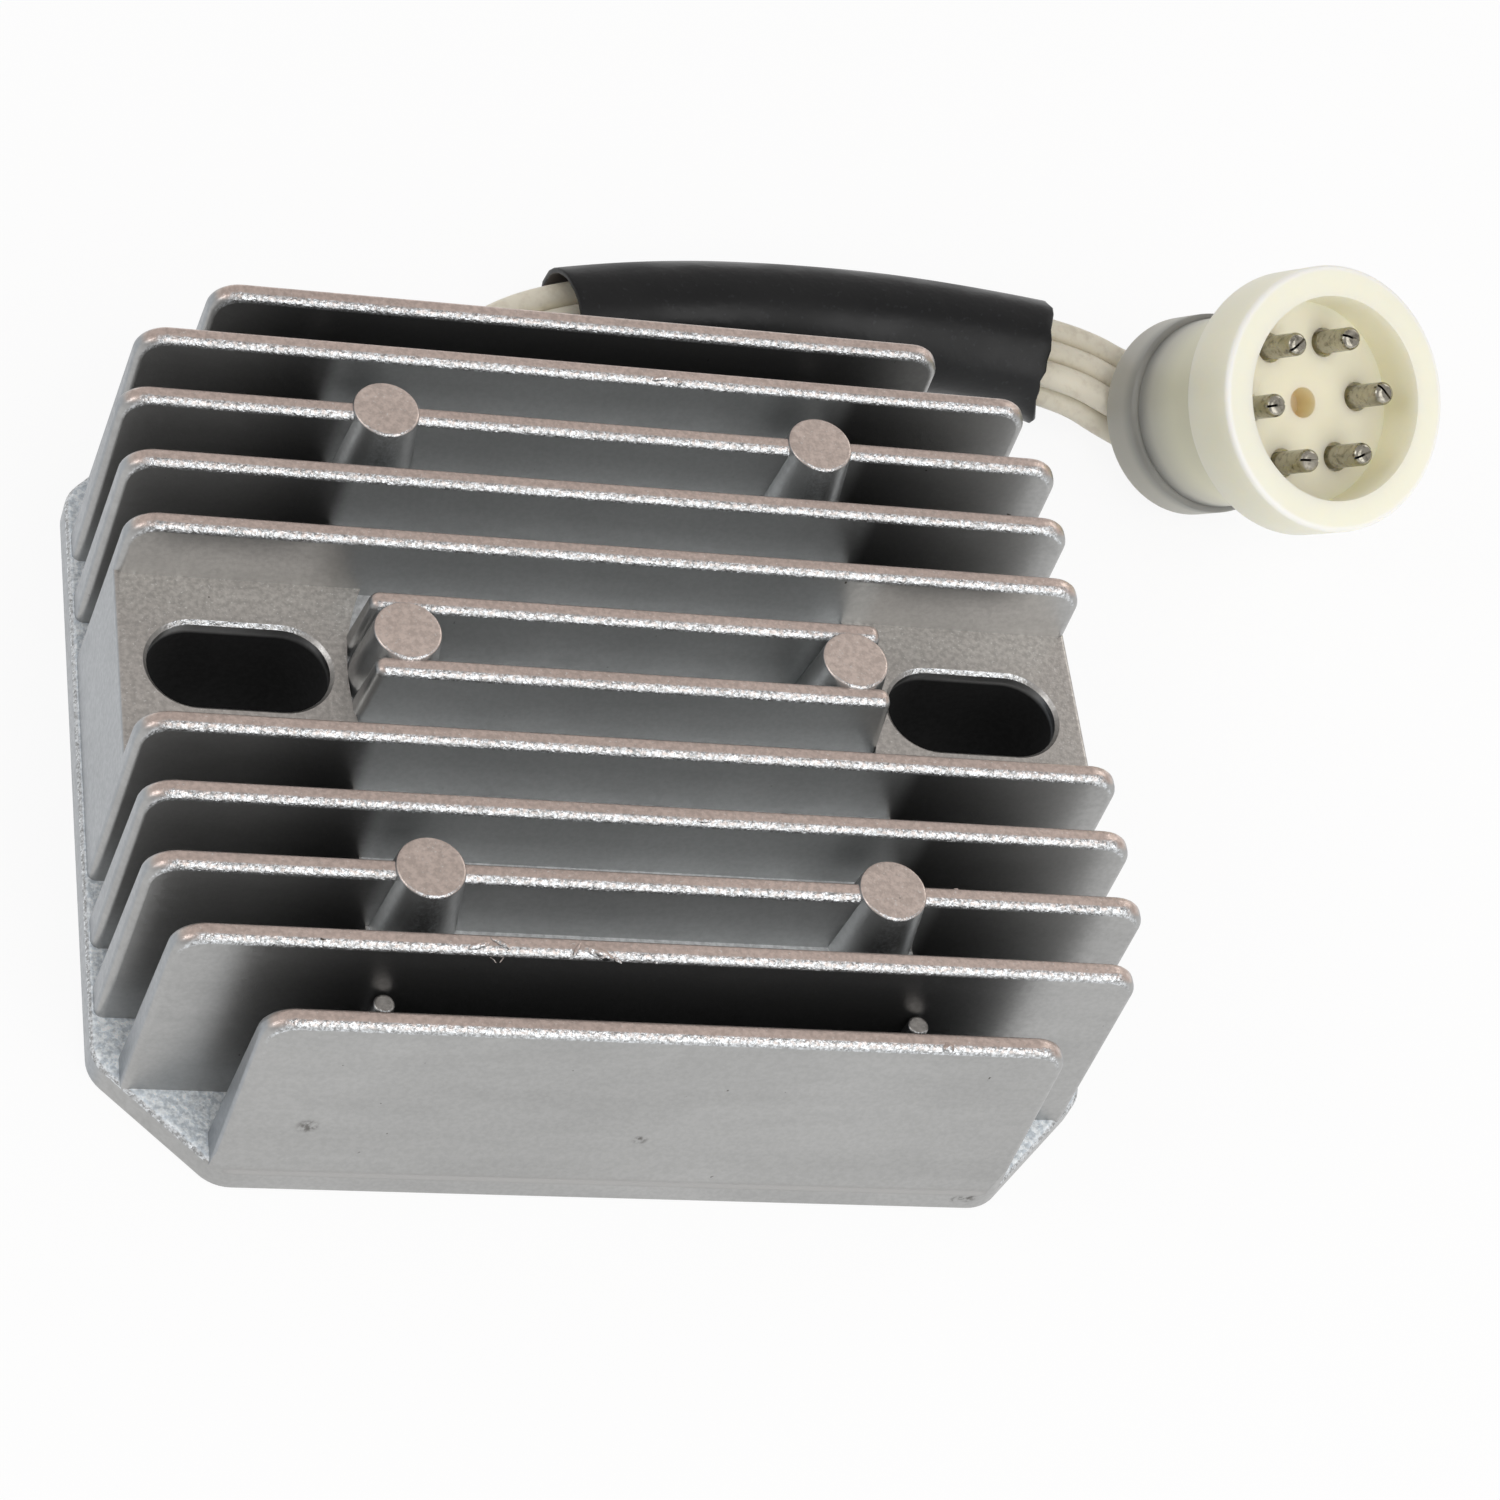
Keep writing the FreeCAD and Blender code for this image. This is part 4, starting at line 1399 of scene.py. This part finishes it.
    def sleeve(self) -> bpy.types.Object:
        """Makes the soft sleeve as a thin-walled tube with rounded, worn ends.

        Returns:
            The sleeve.
        """
        data = self.line("loose_sleeve", [Vector(p) * MM for p in self.sleeve_line])
        data.bevel_depth = self.sleeve_outer
        data.bevel_resolution = 14
        data.resolution_u = 20
        only(placed("loose_sleeve", data))
        bpy.ops.object.convert(target="MESH")
        piece = bpy.context.view_layer.objects.active
        self.tear(piece)
        for material in (self.palette.sleeve, self.palette.sleeve_inside):
            piece.data.materials.append(material)
        wall = piece.modifiers.new("wall", "SOLIDIFY")
        wall.thickness = self.sleeve_wall
        wall.offset = -1.0
        wall.material_offset = 1
        rim = piece.modifiers.new("rim", "BEVEL")
        rim.width = self.rim_round
        rim.segments = 3
        rim.limit_method = "ANGLE"
        rim.angle_limit = math.radians(55.0)
        bake_modifiers(piece)
        smooth(piece, 50.0)
        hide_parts("protective_sleeve")
        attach(piece, BODY)
        LOG.info("loose_sleeve")
        return piece

    def build(self, plug_pieces: list[bpy.types.Object],
              pins: list[bpy.types.Object]) -> None:
        """Makes the sleeve and the wires.

        Args:
            plug_pieces: the plug's housing and boot.
            pins: the plug's pins, in order of their wires.
        """
        sleeve = self.sleeve()
        for route, pin in zip(self.routes, pins):
            pieces = [pin]
            if route.number == 1:
                pieces += [sleeve, *plug_pieces]
            self.wire(route, pieces)


@dataclass
class Plug:
    """Housing, boot and rolled pins at the wires' end."""

    palette: Palette
    place: PlugFrame = PlugFrame()
    well_r: float = 1.5 * MM
    well_depth: float = 0.9 * MM
    seam: float = 0.24 * MM
    seam_turns: tuple[float, ...] = (150.0, 205.0, 175.0, 120.0, 190.0, 165.0)
    pins: list[bpy.types.Object] = field(default_factory=list)
    shells: list[bpy.types.Object] = field(default_factory=list)

    def housing(self) -> bpy.types.Object:
        """Makes the nylon housing, with a shallow well round each pin's foot.

        Returns:
            The housing.
        """
        piece = merged_copy("connector_housing", "plug_housing")
        place = self.place
        for pin in range(len(place.pin_order)):
            side, up = place.pin_spot(pin)
            middle = place.point(side, up, place.floor - self.well_depth / 2.0 + 0.1 * MM)
            well = added(bpy.ops.mesh.primitive_cylinder_add, vertices=40, radius=self.well_r,
                         depth=self.well_depth + 0.2 * MM, location=middle,
                         rotation=place.turned(0.0).to_euler())
            cut_out(piece, well)
        smooth(piece, 35.0)
        dress(piece, self.palette.nylon)
        return piece

    def boot(self) -> bpy.types.Object:
        """Makes the soft boot from the frame's solid.

        Returns:
            The boot.
        """
        piece = merged_copy("connector_boot", "plug_boot")
        smooth(piece, 35.0)
        dress(piece, self.palette.boot)
        return piece

    def pin(self, number: int) -> bpy.types.Object:
        """Makes one rolled pin, whose seam runs up its side and over its nose.

        Args:
            number: the pin's number, as its wire's.

        Returns:
            The pin.
        """
        piece = merged_copy("connector_pin_%d" % number, "plug_pin_%d" % number)
        place = self.place
        side, up = place.pin_spot(place.pin_order[number - 1])
        turned = place.turned(self.seam_turns[number - 1])
        tip = place.length - place.tip_below_face
        low, high = place.floor - self.well_depth, tip + 0.3 * MM
        inner, outer = -0.45 * place.pin_dia, 0.75 * place.pin_dia
        middle = place.point(side, up, (low + high) / 2.0)
        middle += turned @ Vector(((inner + outer) / 2.0, 0.0, 0.0))
        self.slit(piece, middle, turned, (0.55 * place.pin_dia, self.seam, high - low))
        nose = place.point(side, up, tip)
        self.slit(piece, nose, turned, (1.5 * place.pin_dia, self.seam, 1.1 * MM))
        smooth(piece, 38.0)
        dress(piece, self.palette.pin)
        return piece

    def slit(self, piece: bpy.types.Object, middle: Vector, turned: Matrix,
             size: Triple) -> None:
        """Cuts a thin slit into a piece.

        Args:
            piece: the piece.
            middle: the slit's middle.
            turned: the slit's own directions.
            size: its length, width and height.
        """
        cutter = added(bpy.ops.mesh.primitive_cube_add, size=1.0, location=middle,
                       rotation=turned.to_euler(), scale=size)
        cut_out(piece, cutter)

    def build(self) -> None:
        """Makes the plug's pieces."""
        self.shells = [self.housing(), self.boot()]
        self.pins = [self.pin(i + 1) for i in range(len(self.place.pin_order))]
        for piece in [*self.shells, *self.pins]:
            LOG.info(piece.name)


@dataclass(frozen=True)
class Lamp:
    """A soft flat lamp: its direction and distance, width, height, brightness and tint."""

    name: str
    way: Triple
    distance: float
    width: float
    height: float
    bright: float
    tint: Triple = (1.0, 1.0, 1.0)

    def hang(self, aim: Vector) -> None:
        """Hangs the lamp.

        Args:
            aim: the point that it shines at.
        """
        data = bpy.data.lights.new(self.name, "AREA")
        data.shape = "RECTANGLE"
        data.size = self.width
        data.size_y = self.height
        data.energy = self.bright * math.pi * self.width * self.height
        data.color = self.tint
        piece = placed(self.name, data)
        piece.location = aim + Vector(self.way).normalized() * self.distance
        piece.rotation_euler = (aim - piece.location).to_track_quat("-Z", "Y").to_euler()


@dataclass
class Studio:
    """Floor, light and camera."""

    eye: Triple = (-110.25, -228.7476, 340.7541)
    look: Triple = (0.29922026, 0.54471572, -0.78342327)
    up: Triple = (-0.05691731, 0.82976721, 0.55519979)
    lens: float = 106.8496
    sensor: float = 36.0
    aim: Triple = (0.01, 0.01, 0.01)
    floor_gap: float = 0.2 * MM
    sky: Colour = srgb(200, 197, 196)
    sky_strength: float = 0.95
    shown_white: float = 0.9
    lamps: tuple[Lamp, ...] = (
        Lamp("key_lamp", (0.30, -0.72, 0.62), 0.9, 0.8, 1.2, 1.6),
        Lamp("left_lamp", (-0.9, -0.1, 0.55), 1.1, 0.5, 0.5, 2.2, (0.96, 0.98, 1.0)),
        Lamp("rear_lamp", (0.75, 0.55, 0.5), 1.1, 0.4, 0.4, 1.6, (1.0, 0.98, 0.95)),
    )

    def camera(self) -> None:
        """Places the camera."""
        data = bpy.data.cameras.new("view")
        data.lens = self.lens
        data.sensor_width = self.sensor
        data.sensor_fit = "HORIZONTAL"
        data.clip_start = 0.01
        data.clip_end = 20.0
        piece = placed("view", data)
        ahead = Vector(self.look).normalized()
        right = ahead.cross(Vector(self.up)).normalized()
        above = right.cross(ahead)
        turn = Matrix((right, above, -ahead)).transposed().to_4x4()
        piece.matrix_world = Matrix.Translation(Vector(self.eye) * MM) @ turn
        bpy.context.scene.camera = piece

    def shown_rays(self, graph: Graph) -> Socket:
        """One for rays that the camera, a reflection or a glass face sends.

        Args:
            graph: the floor material's nodes.

        Returns:
            A value from 0 to 1.
        """
        path = graph.node("ShaderNodeLightPath").outputs
        both = graph.maths("ADD", path["Is Camera Ray"], path["Is Glossy Ray"])
        return graph.maths("ADD", both, path["Is Transmission Ray"], clamp=True)

    def floor(self) -> None:
        """Lays the pale floor."""
        piece = added(bpy.ops.mesh.primitive_plane_add, size=6.0,
                      location=(0.0, 0.0, -self.floor_gap))
        piece.name = "floor"
        made = bpy.data.materials.new("floor_white")
        made.use_nodes = True
        graph = Graph(made.node_tree)
        tree = made.node_tree
        tree.nodes.remove(tree.nodes["Principled BSDF"])
        matt = graph.node("ShaderNodeBsdfDiffuse", {"Color": srgb(248, 248, 248)})
        glow = graph.node("ShaderNodeEmission", {"Color": WHITE, "Strength": 1.0})
        share = graph.product(self.shown_rays(graph), self.shown_white)
        mix = graph.node("ShaderNodeMixShader", {0: share, 1: matt.outputs[0], 2: glow.outputs[0]})
        graph.feed(tree.nodes["Material Output"].inputs["Surface"], mix.outputs[0])
        dress(piece, made)

    def world(self) -> None:
        """Sets the even light from all round."""
        made = bpy.data.worlds.new("studio")
        bpy.context.scene.world = made
        made.use_nodes = True
        tree = made.node_tree
        tree.nodes.clear()
        graph = Graph(tree)
        soft = graph.node("ShaderNodeBackground",
                          {"Color": self.sky, "Strength": self.sky_strength})
        out = graph.node("ShaderNodeOutputWorld")
        graph.feed(out.inputs["Surface"], soft.outputs[0])

    def build(self) -> None:
        """Makes the whole set."""
        self.camera()
        self.floor()
        self.world()
        for lamp in self.lamps:
            lamp.hang(Vector(self.aim))
        bpy.context.scene.view_settings.view_transform = "Standard"


def main() -> None:
    """Builds the object and its set."""
    logging.basicConfig(level=logging.INFO, format="%(name)s: %(message)s")
    Studio().build()
    palette = Palette()
    HeatSink(palette).build()
    Electronics(palette).build()
    plug = Plug(palette)
    plug.build()
    Harness(palette).build(plug.shells, plug.pins)


if __name__ == "__main__":
    main()
